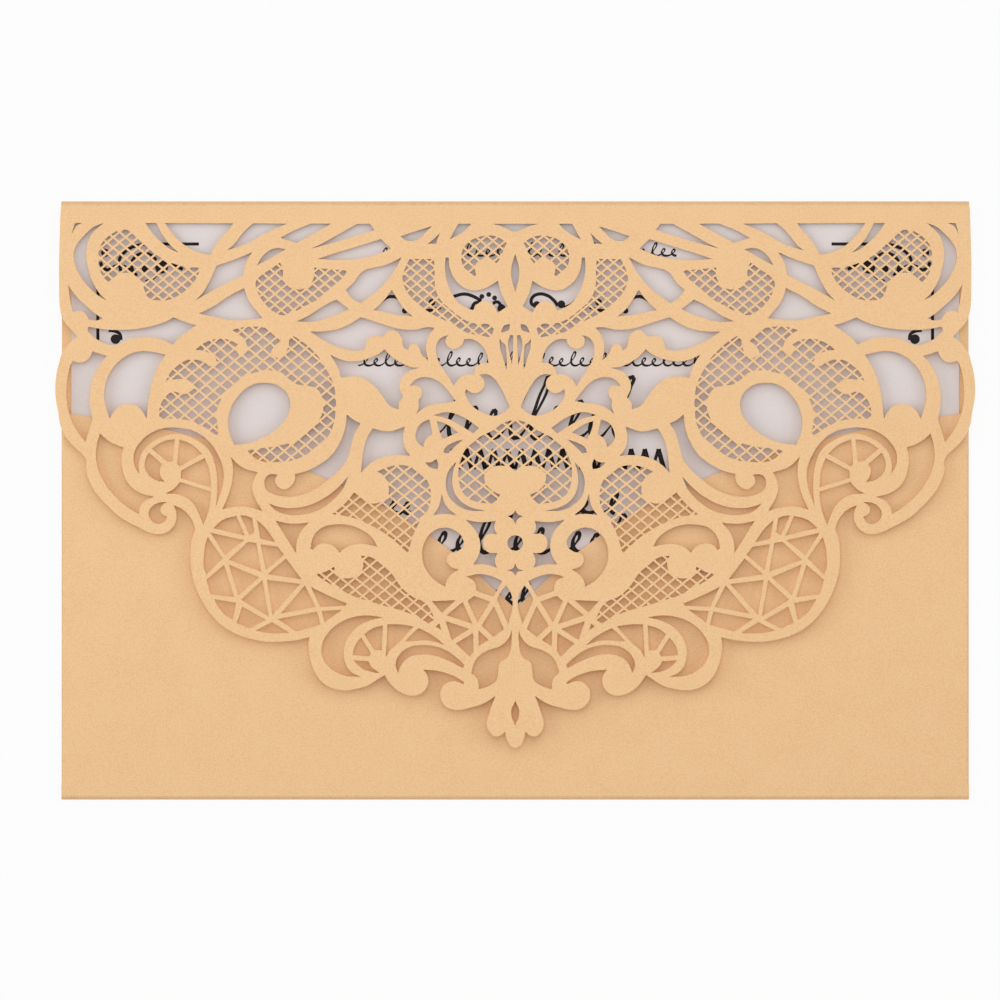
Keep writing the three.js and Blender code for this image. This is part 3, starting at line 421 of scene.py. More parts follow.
def pocket_top(sizes):
    """Top of the pocket's front, which lies over the printed card with air between them."""
    return CARD_TOP + INSERT_FACE_GAP + sizes.card


def flap_top_at_fold(sizes):
    """Top of the flap where it leaves the head's fold."""
    return pocket_top(sizes) + FLAP_CLEARANCE + sizes.card


# Meshes

def link_mesh(name, data):
    """Links a new object that holds a mesh, curve, lamp or camera."""
    piece = bpy.data.objects.new(name, data)
    bpy.context.scene.collection.objects.link(piece)
    return piece


def link_work(name, work):
    """Links a new object made from a working mesh, which is freed."""
    mesh = bpy.data.meshes.new(name)
    work.to_mesh(mesh)
    work.free()
    return link_mesh(name, mesh)


def evaluated_mesh(piece):
    """A plain mesh of a curve, or of a piece with its modifiers."""
    graph = bpy.context.evaluated_depsgraph_get()
    return bpy.data.meshes.new_from_object(piece.evaluated_get(graph))


def tidy_mesh(mesh):
    """Merges doubled vertices and turns every face outwards."""
    work = bmesh.new()
    work.from_mesh(mesh)
    bmesh.ops.remove_doubles(work, verts=work.verts, dist=MERGE_DISTANCE)
    bmesh.ops.recalc_face_normals(work, faces=work.faces)
    work.to_mesh(mesh)
    work.free()


def merge(name, pieces):
    """One object from the meshes of several, which are removed."""
    work = bmesh.new()
    for piece in pieces:
        work.from_mesh(piece.data)
        bpy.data.objects.remove(piece)
    return link_work(name, work)


def combine(piece, tool, operation):
    """Joins, cuts or intersects a piece with a tool, and removes the tool."""
    change = piece.modifiers.new(operation.title(), "BOOLEAN")
    change.operation = operation
    change.solver = "MANIFOLD"
    change.object = tool
    mesh = evaluated_mesh(piece)
    piece.modifiers.clear()
    piece.data = mesh
    bpy.data.objects.remove(tool)
    return piece


def prism(name, outline, push):
    """A solid from a closed outline of points pushed along a vector."""
    work = bmesh.new()
    face = work.faces.new([work.verts.new(point) for point in outline])
    grown = bmesh.ops.extrude_face_region(work, geom=[face])["geom"]
    raised = [item for item in grown if isinstance(item, bmesh.types.BMVert)]
    bmesh.ops.translate(work, verts=raised, vec=push)
    bmesh.ops.recalc_face_normals(work, faces=work.faces)
    return link_work(name, work)


def block(name, low, high):
    """A box between two corners."""
    outline = [(low[0], low[1], low[2]), (high[0], low[1], low[2]),
               (high[0], high[1], low[2]), (low[0], high[1], low[2])]
    return prism(name, outline, (0, 0, high[2] - low[2]))


def curve_plate(name, loops, thickness):
    """A flat plate filled between closed curves, half of its thickness on each side of z = 0."""
    curve = bpy.data.curves.new(name, "CURVE")
    curve.dimensions = "2D"
    curve.fill_mode = "BOTH"
    curve.extrude = thickness / 2
    curve.resolution_u = CURVE_RESOLUTION
    for loop in loops:
        spline = curve.splines.new("BEZIER")
        spline.bezier_points.add(len(loop) - 1)
        spline.use_cyclic_u = True
        for point, (place, _) in zip(spline.bezier_points, loop):
            point.co = (place.x, place.y, 0)
        for point, (_, corner) in zip(spline.bezier_points, loop):
            kind = "VECTOR" if corner else "AUTO"
            point.handle_left_type = kind
            point.handle_right_type = kind
    carrier = link_mesh(name, curve)
    mesh = evaluated_mesh(carrier)
    bpy.data.objects.remove(carrier)
    tidy_mesh(mesh)
    return link_mesh(name, mesh)


# The lace drawing

def read_knots(text, sizes):
    """Knots of one outline, as places from the axis and the fold, with a flag for a sharp corner."""
    scale_x = sizes.panel_width / 2 / DRAWING_HALF_WIDTH
    scale_y = sizes.flap_drop / (DRAWING_TIP_Y - DRAWING_FOLD_Y)
    knots = []
    for word in text.split():
        x, y = (float(value) for value in word.rstrip("!").split(","))
        axis_x = DRAWING_AXIS_X + DRAWING_AXIS_LEAN * (y - DRAWING_FOLD_Y)
        place = Vector(((x - axis_x) * scale_x, (DRAWING_FOLD_Y - y) * scale_y))
        knots.append((place, word.endswith("!")))
    return knots


def mirrored(knots):
    """The same knots on the other side of the axis, in the opposite order."""
    return [(Vector((-place.x, place.y)), corner) for place, corner in reversed(knots)]


def with_mirror(half):
    """A half outline with its mirror image. A knot near the axis is moved onto it and kept once."""
    near_axis = 0.2 * MM
    centred = [(Vector((0, place.y)) if abs(place.x) < near_axis else place, corner)
               for place, corner in half]
    return centred + [knot for knot in mirrored(centred) if knot[0].x != 0]


def diamonds(knots, gap, pitch, sizes):
    """The gaps of a whole net that covers a field."""
    half_x = pitch[0] * sizes.panel_width / 2 / DRAWING_HALF_WIDTH / 2
    half_y = pitch[1] * sizes.flap_drop / (DRAWING_TIP_Y - DRAWING_FOLD_Y) / 2
    shrink = 1 - NET_BAR / 2 * math.hypot(half_x, half_y) / (half_x * half_y)
    middle = read_knots(f"{gap[0]},{gap[1]}", sizes)[0][0]
    columns = [(place.x - middle.x) / half_x for place, _ in knots]
    rows = [(place.y - middle.y) / half_y for place, _ in knots]
    loops = []
    for column in range(math.floor(min(columns)) - 1, math.ceil(max(columns)) + 2):
        for row in range(math.floor(min(rows)) - 1, math.ceil(max(rows)) + 2):
            if (column + row) % 2:
                continue
            centre = middle + Vector((column * half_x, row * half_y))
            corners = [(-half_x, 0), (0, -half_y), (half_x, 0), (0, half_y)]
            loops.append([(centre + Vector(corner) * shrink, True) for corner in corners])
    return loops


def net_tool(name, knots, gap, pitch, depth, sizes):
    """The gaps of one net, clipped to its field, without the tiniest slivers."""
    gaps = curve_plate(name, diamonds(knots, gap, pitch, sizes), depth)
    field = curve_plate(name + "_field", [knots], 2 * depth)
    combine(gaps, field, "INTERSECT")
    work = bmesh.new()
    work.from_mesh(gaps.data)
    unseen = set(work.verts)
    while unseen:
        island = [unseen.pop()]
        for vertex in island:
            for edge in vertex.link_edges:
                other = edge.other_vert(vertex)
                if other in unseen:
                    unseen.remove(other)
                    island.append(other)
        faces = {face for vertex in island for face in vertex.link_faces}
        area = sum(face.calc_area() for face in faces if face.normal.z > 0.5)
        if area < NET_SMALLEST_AREA:
            bmesh.ops.delete(work, geom=island, context="VERTS")
    work.to_mesh(gaps.data)
    work.free()
    return gaps


def lace_tool(sizes):
    """Everything that the laser takes out of the flap, in the flap's own plane."""
    depth = sizes.card + 2 * CUT_MARGIN
    side_knots = [read_knots(text, sizes) for group in SIDE_OPENINGS.values() for text in group]
    loops = side_knots + [mirrored(knots) for knots in side_knots]
    loops += [with_mirror(read_knots(text, sizes)) for text in AXIS_OPENINGS]
    edge = with_mirror(read_knots(LACE_EDGE, sizes))
    reach = sizes.panel_width / 2 + 3 * TRIM
    below = -sizes.flap_drop - 2 * TRIM
    surround = [(-reach, 0), (-reach, below), (reach, below), (reach, 0)]
    loops.append([(Vector(corner), True) for corner in surround] + edge[::-1])
    tools = [curve_plate("lace_openings", loops, depth)]
    for index, (text, gap, pitch) in enumerate(SIDE_NETS):
        knots = read_knots(text, sizes)
        left = net_tool(f"net_{index}", knots, gap, pitch, depth, sizes)
        right = link_mesh(f"net_{index}_right", left.data.copy())
        right.data.transform(Matrix.Diagonal((-1, 1, 1, 1)))
        tidy_mesh(right.data)
        tools += [left, right]
    text, gap, pitch = AXIS_NET
    tools.append(net_tool("net_middle", with_mirror(read_knots(text, sizes)), gap, pitch, depth, sizes))
    return merge("lace_tool", tools)


# The folded sheet

def arc(centre, radius, start, end):
    """Stations of a fold: a point on the card's middle and the way out of the fold there."""
    stations = []
    for step in range(FOLD_STEPS + 1):
        angle = math.radians(start + (end - start) * step / FOLD_STEPS)
        outward = Vector((math.cos(angle), math.sin(angle)))
        stations.append((centre + outward * radius, outward))
    return stations


def section(stations, card):
    """Closed outline of a strip of card that follows the stations.

    Its places are rounded, so that faces which meet in one plane lie exactly in it.
    """
    outer = [middle + outward * card / 2 for middle, outward in stations]
    inner = [middle - outward * card / 2 for middle, outward in stations]
    return [(round(across, 8), round(up, 8)) for across, up in outer + inner[::-1]]


def head_fold(sizes):
    """Stations of the fold between the back panel and the flap."""
    radius = flap_top_at_fold(sizes) / 2
    centre = Vector((sizes.panel_height / 2 - radius, radius))
    return arc(centre, radius - sizes.card / 2, -90, 90 - math.degrees(sizes.flap_slope))


def folded_sheet(sizes, half_width):
    """Pocket, foot fold, back panel, head fold and flap as one strip of card."""
    foot = -sizes.panel_height / 2
    radius = pocket_top(sizes) / 2
    pocket_end = (Vector((foot + sizes.side_rise, pocket_top(sizes) - sizes.card / 2)), Vector((0, 1)))
    foot_fold = arc(Vector((foot + radius, radius)), radius - sizes.card / 2, 90, 270)
    at_head = head_fold(sizes)
    start, outward = at_head[-1]
    down = Vector((-math.cos(sizes.flap_slope), math.sin(sizes.flap_slope)))
    flap_end = (start + down * (sizes.flap_drop + TRIM), outward)
    outline = section([pocket_end, *foot_fold, *at_head, flap_end], sizes.card)
    points = [(-half_width, y, z) for y, z in outline]
    return prism("lace_folder", points, (2 * half_width, 0, 0))


def trims(sizes, half_width):
    """Blocks that bring all but the flap to the panel's width, and clear the pocket's side folds."""
    side = sizes.panel_width / 2
    head = sizes.panel_height / 2
    far = half_width + TRIM
    under_flap = pocket_top(sizes) + FLAP_CLEARANCE / 2
    fold_y = head_fold(sizes)[-1][0].x
    fold_x = side - (pocket_top(sizes) - sizes.card) / 2
    low_y = -head + TAB_FOOT_GAP
    blocks = []
    for sign in (-1, 1):
        near_x, far_x = sorted((sign * side, sign * far))
        blocks.append(block("trim", (near_x, -head - TRIM, -TRIM), (far_x, head + TRIM, under_flap)))
        blocks.append(block("trim", (near_x, fold_y, -TRIM), (far_x, head + TRIM, TRIM)))
        near_x, far_x = sorted((sign * fold_x, sign * far))
        high_y = sizes.side_rise - head + TRIM
        blocks.append(block("trim", (near_x, low_y, 2 * sizes.card), (far_x, high_y, under_flap)))
    return blocks


def tab_parts(sizes, sign):
    """A glued tab behind the pocket, and the fold that joins it to the pocket's side."""
    side = sizes.panel_width / 2
    foot = -sizes.panel_height / 2
    radius = (pocket_top(sizes) - sizes.card) / 2
    low = foot + TAB_FOOT_GAP
    high = foot + sizes.side_rise
    glue = sizes.card / 2
    inner = side - sizes.tab_width
    corners = [(side - radius, low), (side - radius, high),
               (inner, high - TAB_SLANT), (inner, low + TAB_SLANT)]
    tab = prism("tab", [(sign * x, y, glue) for x, y in corners], (0, 0, sizes.card + glue))
    bend = arc(Vector((side - radius, sizes.card + radius)), radius - sizes.card / 2, -90, 90)
    inward = Vector((-sizes.card, 0))
    run = [(bend[0][0] + inward, bend[0][1]), *bend, (bend[-1][0] + inward, bend[-1][1])]
    fold = prism("tab_fold", [(sign * x, low, z) for x, z in section(run, sizes.card)], (0, high - low, 0))
    return [tab, fold]


def pocket_tool(sizes):
    """Takes away the card above the pocket's curved edge."""
    side = sizes.panel_width / 2
    head = sizes.panel_height / 2
    fall = sizes.side_rise - sizes.middle_rise
    right = [(Vector((across * side, sizes.middle_rise - head + left * fall)), across in (0, 1))
             for across, left in POCKET_EDGE]
    top = head - flap_top_at_fold(sizes)
    reach = side + TRIM
    side_y = right[0][0].y
    ends = [(Vector((reach, side_y)), True), (Vector((reach, top)), True)]
    low = 2 * sizes.card + INSERT_FACE_GAP / 2
    high = pocket_top(sizes) + FLAP_CLEARANCE / 2
    to_side = right[-2::-1]
    outline = mirrored(ends) + mirrored(to_side) + [right[-1]] + to_side + ends
    tool = curve_plate("pocket_tool", [outline], high - low)
    tool.data.transform(Matrix.Translation((0, 0, (low + high) / 2)))
    return tool


def lace_frame(sizes):
    """From the drawing's plane to the flap's middle, with the drawing's fold line at the head."""
    slope = sizes.flap_slope
    start = head_fold(sizes)[-1][0]
    to_fold = Vector((0, math.cos(slope), -math.sin(slope)))
    normal = Vector((0, math.sin(slope), math.cos(slope)))
    origin = Vector((0, start.x, start.y))
    origin += to_fold * (sizes.panel_height / 2 - start.x) / math.cos(slope)
    matrix = Matrix((Vector((1, 0, 0)), to_fold, normal)).transposed().to_4x4()
    matrix.translation = origin
    return matrix


def split_faces(mesh):
    """Splits the many-sided faces that the cuts leave into triangles."""
    work = bmesh.new()
    work.from_mesh(mesh)
    bmesh.ops.remove_doubles(work, verts=work.verts, dist=MERGE_DISTANCE)
    bmesh.ops.triangulate(work, faces=work.faces)
    for face in work.faces:
        face.smooth = False
    work.to_mesh(mesh)
    work.free()


def mark_cut_edges(piece, sizes):
    """Gives the laser-cut walls of the flap and the pocket's edge the second material: laser browning,
    darkened further as painted shade.
    """
    normal = lace_frame(sizes).col[2].to_3d()
    fold_y = head_fold(sizes)[-1][0].x
    foot_y = -sizes.panel_height / 2 + pocket_top(sizes)
    side = sizes.panel_width / 2 - pocket_top(sizes)
    for face in piece.data.polygons:
        upright = abs(face.normal.dot(normal)) < 0.5
        on_flap = face.center.z > pocket_top(sizes) + FLAP_CLEARANCE / 2 and face.center.y < fold_y
        on_pocket = foot_y < face.center.y < fold_y and abs(face.center.x) < side
        face.material_index = 1 if upright and (on_flap or on_pocket) else 0


# Finishes

def new_material(name, colour):
    """A material with a Principled shader of one colour."""
    material = bpy.data.materials.new(name)
    material.use_nodes = True
    shader = material.node_tree.nodes["Principled BSDF"]
    shader.inputs["Base Color"].default_value = (*colour, 1)
    return material, material.node_tree, shader


def grain_group():
    """Shared grain of card: a fine speckle, a broad mottle and a bumped normal."""
    group = bpy.data.node_groups.get("card_grain")
    if group:
        return group
    group = bpy.data.node_groups.new("card_grain", "ShaderNodeTree")
    sockets = [("Fine Scale", "INPUT", 3000), ("Broad Scale", "INPUT", 160), ("Relief", "INPUT", 0.2)]
    for name, direction, default in sockets:
        socket = group.interface.new_socket(name, in_out=direction, socket_type="NodeSocketFloat")
        socket.default_value = default
    for name in ("Speckle", "Mottle"):
        group.interface.new_socket(name, in_out="OUTPUT", socket_type="NodeSocketFloat")
    group.interface.new_socket("Normal", in_out="OUTPUT", socket_type="NodeSocketVector")
    nodes = group.nodes
    links = group.links
    start = nodes.new("NodeGroupInput")
    end = nodes.new("NodeGroupOutput")
    place = nodes.new("ShaderNodeTexCoord")
    for scale, output, detail in (("Fine Scale", "Speckle", 4), ("Broad Scale", "Mottle", 3)):
        noise = nodes.new("ShaderNodeTexNoise")
        noise.inputs["Detail"].default_value = detail
        links.new(place.outputs["Object"], noise.inputs["Vector"])
        links.new(start.outputs[scale], noise.inputs["Scale"])
        links.new(noise.outputs["Fac"], end.inputs[output])
        if output == "Speckle":
            bump = nodes.new("ShaderNodeBump")
            bump.inputs["Distance"].default_value = 0.05 * MM
            links.new(start.outputs["Relief"], bump.inputs["Strength"])
            links.new(noise.outputs["Fac"], bump.inputs["Height"])
            links.new(bump.outputs["Normal"], end.inputs["Normal"])
    return group


def add_grain(tree, shader, light, deep, rough, relief):
    """Grain in the colour, roughness and normal of a card."""
    grain = tree.nodes.new("ShaderNodeGroup")
    grain.node_tree = grain_group()
    grain.inputs["Relief"].default_value = relief
    blend = tree.nodes.new("ShaderNodeMath")
    blend.operation = "MULTIPLY_ADD"
    blend.inputs[1].default_value = 1 - MOTTLE_SHARE
    tree.links.new(grain.outputs["Speckle"], blend.inputs[0])
    share = tree.nodes.new("ShaderNodeMath")
    share.operation = "MULTIPLY"
    share.inputs[1].default_value = MOTTLE_SHARE
    tree.links.new(grain.outputs["Mottle"], share.inputs[0])
    tree.links.new(share.outputs[0], blend.inputs[2])
    ramp = tree.nodes.new("ShaderNodeValToRGB")
    ramp.color_ramp.elements[0].position = 0.38
    ramp.color_ramp.elements[0].color = (*deep, 1)
    ramp.color_ramp.elements[1].position = 0.56
    ramp.color_ramp.elements[1].color = (*light, 1)
    tree.links.new(blend.outputs[0], ramp.inputs["Fac"])
    tree.links.new(ramp.outputs["Color"], shader.inputs["Base Color"])
    spread = tree.nodes.new("ShaderNodeMapRange")
    spread.inputs["To Min"].default_value = rough - 0.08
    spread.inputs["To Max"].default_value = rough + 0.08
    tree.links.new(grain.outputs["Speckle"], spread.inputs["Value"])
    tree.links.new(spread.outputs["Result"], shader.inputs["Roughness"])
    tree.links.new(grain.outputs["Normal"], shader.inputs["Normal"])


def pearl_material(colours):
    """Gold-tan card with a soft pearl lustre."""
    material, tree, shader = new_material("pearl_card", colours.pearl)
    shader.inputs["Metallic"].default_value = 0.12
    shader.inputs["Sheen Weight"].default_value = 0.06
    add_grain(tree, shader, colours.pearl, colours.pearl_deep, rough=0.46, relief=0.35)
    return material


def burnt_and_shaded_material(colours):
    """Card edge browned by the laser, and darkened further as painted shade for the shadow line along the
    cuts.
    """
    material, tree, shader = new_material("burnt_and_shaded_edge", colours.burnt_and_shaded)
    light = [value * 1.5 for value in colours.burnt_and_shaded]
    add_grain(tree, shader, light, colours.burnt_and_shaded, rough=0.8, relief=0.3)
    return material


def paper_and_shade_material(colours):
    """Smooth white card, darkened and tinted pink as painted shade from the lace above it."""
    material, tree, shader = new_material("white_card", colours.paper_and_shade)
    deep = [value * 0.965 for value in colours.paper_and_shade]
    add_grain(tree, shader, colours.paper_and_shade, deep, rough=0.62, relief=0.12)
    return material


def ink_material(colours):
    """Flat dark print."""
    material, tree, shader = new_material("ink", colours.ink)
    shader.inputs["Specular IOR Level"].default_value = 0.25
    light = [value * 2 for value in colours.ink]
    add_grain(tree, shader, light, colours.ink, rough=0.6, relief=0.1)
    return material


def floor_material():
    """Pale floor that looks white to the camera and in reflections, and still takes a soft shadow."""
    material, tree, shader = new_material("pale_floor", (0.9, 0.9, 0.9))
    shader.inputs["Roughness"].default_value = 0.9
    path = tree.nodes.new("ShaderNodeLightPath")
    glow = tree.nodes.new("ShaderNodeEmission")
    blend = tree.nodes.new("ShaderNodeMixShader")
    seen = path.outputs["Is Camera Ray"]
    for ray in ("Is Glossy Ray", "Is Transmission Ray"):
        either = tree.nodes.new("ShaderNodeMath")
        either.operation = "MAXIMUM"
        tree.links.new(seen, either.inputs[0])
        tree.links.new(path.outputs[ray], either.inputs[1])
        seen = either.outputs[0]
    share = tree.nodes.new("ShaderNodeMath")
    share.operation = "MULTIPLY"
    share.inputs[1].default_value = FLOOR_WHITENESS
    tree.links.new(seen, share.inputs[0])
    tree.links.new(share.outputs[0], blend.inputs["Fac"])
    tree.links.new(shader.outputs["BSDF"], blend.inputs[1])
    tree.links.new(glow.outputs["Emission"], blend.inputs[2])
    tree.links.new(blend.outputs["Shader"], tree.nodes["Material Output"].inputs["Surface"])
    return material


# Print: strokes and dots in millimetres from the middle of the panel

# The scrolls of the left corner: the right corner has their mirror images
CORNER_STROKES = [
    [(-75.6, 52.3), (-78, 51.7), (-79.9, 50.4), (-80.8, 48.8), (-80.4, 46.8)],
    [(-77.2, 45.8), (-78.2, 47.5), (-78, 49), (-76.4, 50.3), (-74.4, 50.1), (-73.2, 49)],
    [(-75.3, 44.6), (-73.8, 45.4), (-72.8, 46.6)],
    [(-84.6, 48.6), (-84.1, 47.6), (-83, 47), (-81.6, 47.8), (-79.7, 47.7), (-78.2, 46.7), (-77.2, 45.8)],
    [(-70.6, 48.6), (-69.2, 47.9), (-67.8, 47.1)],
    [(-82.9, 34.7), (-81.5, 34.5), (-80.6, 33.9), (-80.4, 32.7)],
]
CORNER_DOTS = [(-83.6, 50.5, 0.85), (-72.1, 47.6, 1.35), (-75.4, 47.2, 0.75), (-81.5, 32.9, 1.0)]
CORNER_RULES = [
    [(-72.5, 52.3), (-64.5, 52.3)],
    [(-85.1, 44.4), (-85.1, 32.7)],
]

# The scrolls at the middle of the head
MIDDLE_STROKES = [
    [(-27.5, 40.6), (-25.5, 41.6), (-23, 40.9), (-20.8, 39.5), (-18, 38.7), (-15.2, 39.4)],
    [(-12.6, 41.6), (-10.4, 42.1), (-8.5, 41.6), (-6.9, 40.7)],
    [(-8.8, 39.2), (-8.3, 40.2), (-7.3, 40.4), (-6, 40)],
    [(-4.6, 40.2), (-3.6, 40.5), (-2.8, 39.6)],
    [(4.1, 39.6), (3.3, 40.2), (3.5, 41.4), (4.8, 42.1), (6.3, 41.9), (7.7, 41), (8.7, 39.7)],
    [(10, 39.3), (11.4, 39.9), (12.6, 41)],
    [(15.2, 39.4), (18, 38.7), (20.8, 39.5), (23, 40.9), (25.5, 41.6), (27.5, 40.6)],
]
MIDDLE_DOTS = [
    (-6.8, 41.6, 0.5), (-5.4, 42, 0.5), (-4.2, 41.3, 0.5), (-8.8, 39, 0.5), (-2.8, 39.2, 0.85),
    (4.4, 39.9, 0.75), (9.4, 40, 0.8), (-17, 40.4, 0.7), (17, 40.4, 0.7),
    (-22.5, 38.7, 0.6), (22.5, 38.7, 0.6),
]

# Shares of full height that the loops of a row of pen strokes take in turn
TALL_AND_LOW = (1, 0.5, 0.45, 0.95, 1, 0.5, 0.6, 0.5)
LOW_AND_TALL = (0.5, 0.45, 0.95, 1, 0.5, 0.6, 0.5)
EVEN_AND_LOW = (0.6, 0.5, 1, 0.55, 0.5, 0.9)

# Rows of loops: left end, right end, full height, base line, pitch, and the heights taken in turn
SMALL_ROWS = [
    (-28, 33, 2.6, 49.9, 2.1, EVEN_AND_LOW),
    (-32, 36.5, 2.8, 27.5, 2.1, EVEN_AND_LOW),
]
SCRIPT_ROWS = [
    (-17, 20, 12.5, 12.7, 4.2, TALL_AND_LOW),
    (-27, -20, 4, -2.6, 2.8, EVEN_AND_LOW),
    (12, 20, 4, -2.6, 2.8, EVEN_AND_LOW),
    (-18, 20, 8, -10.6, 3.9, LOW_AND_TALL),
    (-6, 5, 4, -21, 2.8, EVEN_AND_LOW),
]

# The zigzag band: left end, right end, height, base line and pitch
BAND = (-14, 31, 4.1, 6.4, 2.8)


def pen_loops(left, right, height, base, pitch, rises):
    """A plain row of running loops: a pen flourish that spells nothing."""
    points = []
    for step in range(round((right - left) / pitch) * LOOP_POINTS + 1):
        turn = 2 * math.pi * step / LOOP_POINTS
        rise = height * rises[step // LOOP_POINTS % len(rises)] * (1 - math.cos(turn)) / 2
        sway = LOOP_SWING * pitch * math.sin(turn) + LOOP_LEAN * rise
        points.append((left + pitch * step / LOOP_POINTS + sway, base + rise))
    return points


def peaks(left, right, height, base, pitch):
    """A plain zigzag band: slanted strokes in turn up and down."""
    strokes = []
    for step in range(round((right - left) / pitch)):
        start = left + pitch * step
        top = (start + 0.42 * pitch, base + height)
        strokes.append([(start, base), top])
        strokes.append([top, (start + 0.84 * pitch, base)])
    return strokes


def nib_width(before, after):
    """Width share of a broad pen's stroke, thin on the way up to the right and thick across it."""
    way = Vector(after) - Vector(before)
    slant = math.atan2(way.y, way.x) - PEN_SLANT
    return PEN_THIN + (1 - PEN_THIN) * abs(math.sin(slant))


def stroke_mesh(name, strokes, width, broad_pen=False):
    """Flat ink ribbons along the strokes, on the face of the printed card."""
    curve = bpy.data.curves.new(name, "CURVE")
    curve.dimensions = "3D"
    curve.bevel_depth = width / 2
    curve.bevel_resolution = 1
    curve.use_fill_caps = True
    curve.resolution_u = 3
    for stroke in strokes:
        spline = curve.splines.new("BEZIER")
        spline.bezier_points.add(len(stroke) - 1)
        for index, (x, y) in enumerate(stroke):
            point = spline.bezier_points[index]
            point.co = (x * MM, y * MM, 0)
            if broad_pen:
                last = len(stroke) - 1
                point.radius = nib_width(stroke[max(index - 1, 0)], stroke[min(index + 1, last)])
        for point in spline.bezier_points:
            point.handle_left_type = "AUTO"
            point.handle_right_type = "AUTO"
    carrier = link_mesh(name, curve)
    mesh = evaluated_mesh(carrier)
    bpy.data.objects.remove(carrier)
    mesh.transform(Matrix.Diagonal((1, 1, PRINT_LIFT / width, 1)))
    mesh.transform(Matrix.Translation((0, 0, CARD_TOP + PRINT_LIFT / 2)))
    tidy_mesh(mesh)
    return link_mesh(name, mesh)


def dots_mesh(name, dots):
    """Round drops of ink on the face of the printed card."""
    work = bmesh.new()
    for x, y, radius in dots:
        place = Matrix.Translation((x * MM, y * MM, CARD_TOP + PRINT_LIFT / 2))
        bmesh.ops.create_cone(
            work, cap_ends=True, segments=DOT_SEGMENTS, radius1=radius * MM, radius2=radius * MM,
            depth=PRINT_LIFT, matrix=place)
    return link_work(name, work)


def both_sides(items):
    """Strokes or dots with their mirror images."""
    mirror = [[(-x, y) for x, y in item] if isinstance(item, list) else (-item[0], *item[1:])
              for item in items]
    return items + mirror


class INVITATION_OT_folder(bpy.types.Operator):
    """Make the folded card with its pocket, side tabs and lace flap"""

    bl_idname = "invitation.folder"
    bl_label = "Lace folder"

    def execute(self, context):
        sizes = context.scene.folder_sizes
        colours = context.scene.finish_colours
        half_width = sizes.panel_width / 2 + TRIM
        folder = folded_sheet(sizes, half_width)
        for tool in trims(sizes, half_width):
            combine(folder, tool, "DIFFERENCE")
        for sign in (-1, 1):
            for part in tab_parts(sizes, sign):
                combine(folder, part, "UNION")
        combine(folder, pocket_tool(sizes), "DIFFERENCE")
        tool = lace_tool(sizes)
        tool.data.transform(lace_frame(sizes))
        combine(folder, tool, "DIFFERENCE")
        folder.name = "lace_folder"
        split_faces(folder.data)
        folder.data.materials.clear()
        folder.data.materials.append(pearl_material(colours))
        folder.data.materials.append(burnt_and_shaded_material(colours))
        mark_cut_edges(folder, sizes)
        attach(folder, "root")
        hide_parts("lace_pocket_folder")
        return {"FINISHED"}


class INVITATION_OT_printed_card(bpy.types.Operator):
    """Finish the card in the pocket and print its border and ornament"""

    bl_idname = "invitation.printed_card"
    bl_label = "Printed card"

    def execute(self, context):
        colours = context.scene.finish_colours
        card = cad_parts["insert_card"]
        card.data.materials.clear()
        card.data.materials.append(paper_and_shade_material(colours))
        ink = ink_material(colours)
        small_rows = [pen_loops(*row) for row in SMALL_ROWS]
        script = [pen_loops(*row) for row in SCRIPT_ROWS]
        prints = [
            stroke_mesh("print_rules", both_sides(CORNER_RULES), RULE_WIDTH),
            stroke_mesh("print_ornament", both_sides(CORNER_STROKES) + MIDDLE_STROKES, SCROLL_WIDTH),
            dots_mesh("print_dots", both_sides(CORNER_DOTS) + MIDDLE_DOTS),
            stroke_mesh("print_small_rows", small_rows, SMALL_PEN, broad_pen=True),
            stroke_mesh("print_bold_row", peaks(*BAND), BAND_PEN, broad_pen=True),
            stroke_mesh("print_script", script, SCRIPT_PEN, broad_pen=True),
        ]
        for piece in prints:
            piece.data.materials.append(ink)
            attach(piece, "root")
        return {"FINISHED"}


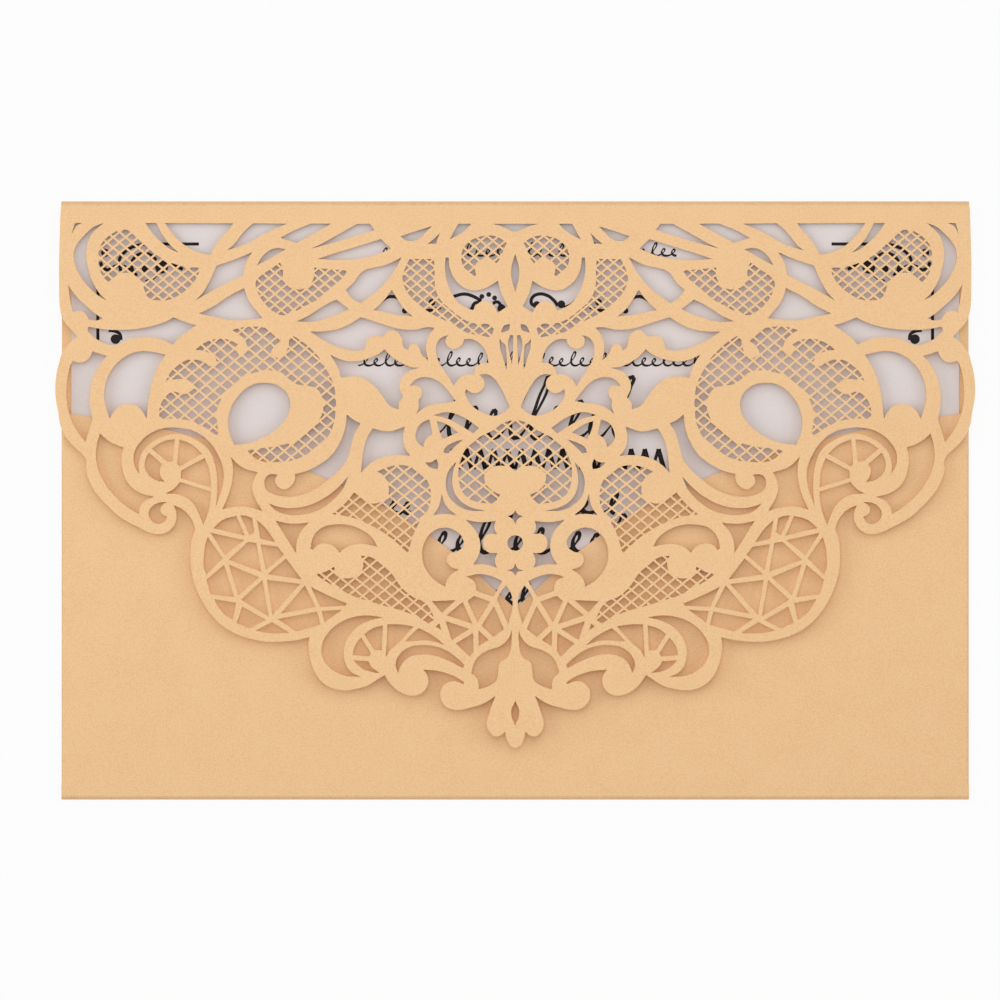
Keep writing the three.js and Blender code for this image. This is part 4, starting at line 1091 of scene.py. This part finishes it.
class INVITATION_OT_studio(bpy.types.Operator):
    """Set the pale floor, the soft lamps and the camera that looks straight down"""

    bl_idname = "invitation.studio"
    bl_label = "Studio"

    def execute(self, context):
        scene = context.scene
        scene.view_settings.view_transform = "Standard"
        corners = [(-FLOOR_REACH, -FLOOR_REACH, 0), (FLOOR_REACH, -FLOOR_REACH, 0),
                   (FLOOR_REACH, FLOOR_REACH, 0), (-FLOOR_REACH, FLOOR_REACH, 0)]
        floor = prism("floor", corners, (0, 0, -FLOOR_DEPTH))
        floor.data.materials.append(floor_material())
        world = bpy.data.worlds.new("soft_room")
        world.use_nodes = True
        background = world.node_tree.nodes["Background"]
        background.inputs["Color"].default_value = (1, 1, 1, 1)
        background.inputs["Strength"].default_value = ROOM_LIGHT
        scene.world = world
        for name, place, size, power in LAMPS:
            light = bpy.data.lights.new(name, "AREA")
            light.energy = power
            light.size = size
            lamp = link_mesh(name, light)
            lamp.location = place
            lamp.rotation_euler = (-Vector(place)).to_track_quat("-Z", "Y").to_euler()
        camera_data = bpy.data.cameras.new("camera")
        camera_data.sensor_width = SENSOR_WIDTH
        camera_data.lens = SENSOR_WIDTH * CAMERA_PLACE[2] / PICTURE_WIDTH
        camera = link_mesh("camera", camera_data)
        camera.location = CAMERA_PLACE
        scene.camera = camera
        return {"FINISHED"}


class INVITATION_PT_sidebar(bpy.types.Panel):
    """Buttons that build the invitation"""

    bl_idname = "INVITATION_PT_sidebar"
    bl_label = "Invitation"
    bl_space_type = "VIEW_3D"
    bl_region_type = "UI"
    bl_category = "Invitation"

    def draw(self, context):
        for operator in OPERATORS:
            self.layout.operator(operator.bl_idname)


OPERATORS = (INVITATION_OT_folder, INVITATION_OT_printed_card, INVITATION_OT_studio)
CLASSES = (FolderSizes, FinishColours, *OPERATORS, INVITATION_PT_sidebar)


def register():
    for item in CLASSES:
        bpy.utils.register_class(item)
    bpy.types.Scene.folder_sizes = PointerProperty(type=FolderSizes)
    bpy.types.Scene.finish_colours = PointerProperty(type=FinishColours)


def unregister():
    del bpy.types.Scene.finish_colours
    del bpy.types.Scene.folder_sizes
    for item in reversed(CLASSES):
        bpy.utils.unregister_class(item)


def main():
    register()
    bpy.ops.invitation.folder()
    bpy.ops.invitation.printed_card()
    bpy.ops.invitation.studio()


if __name__ == "__main__":
    main()
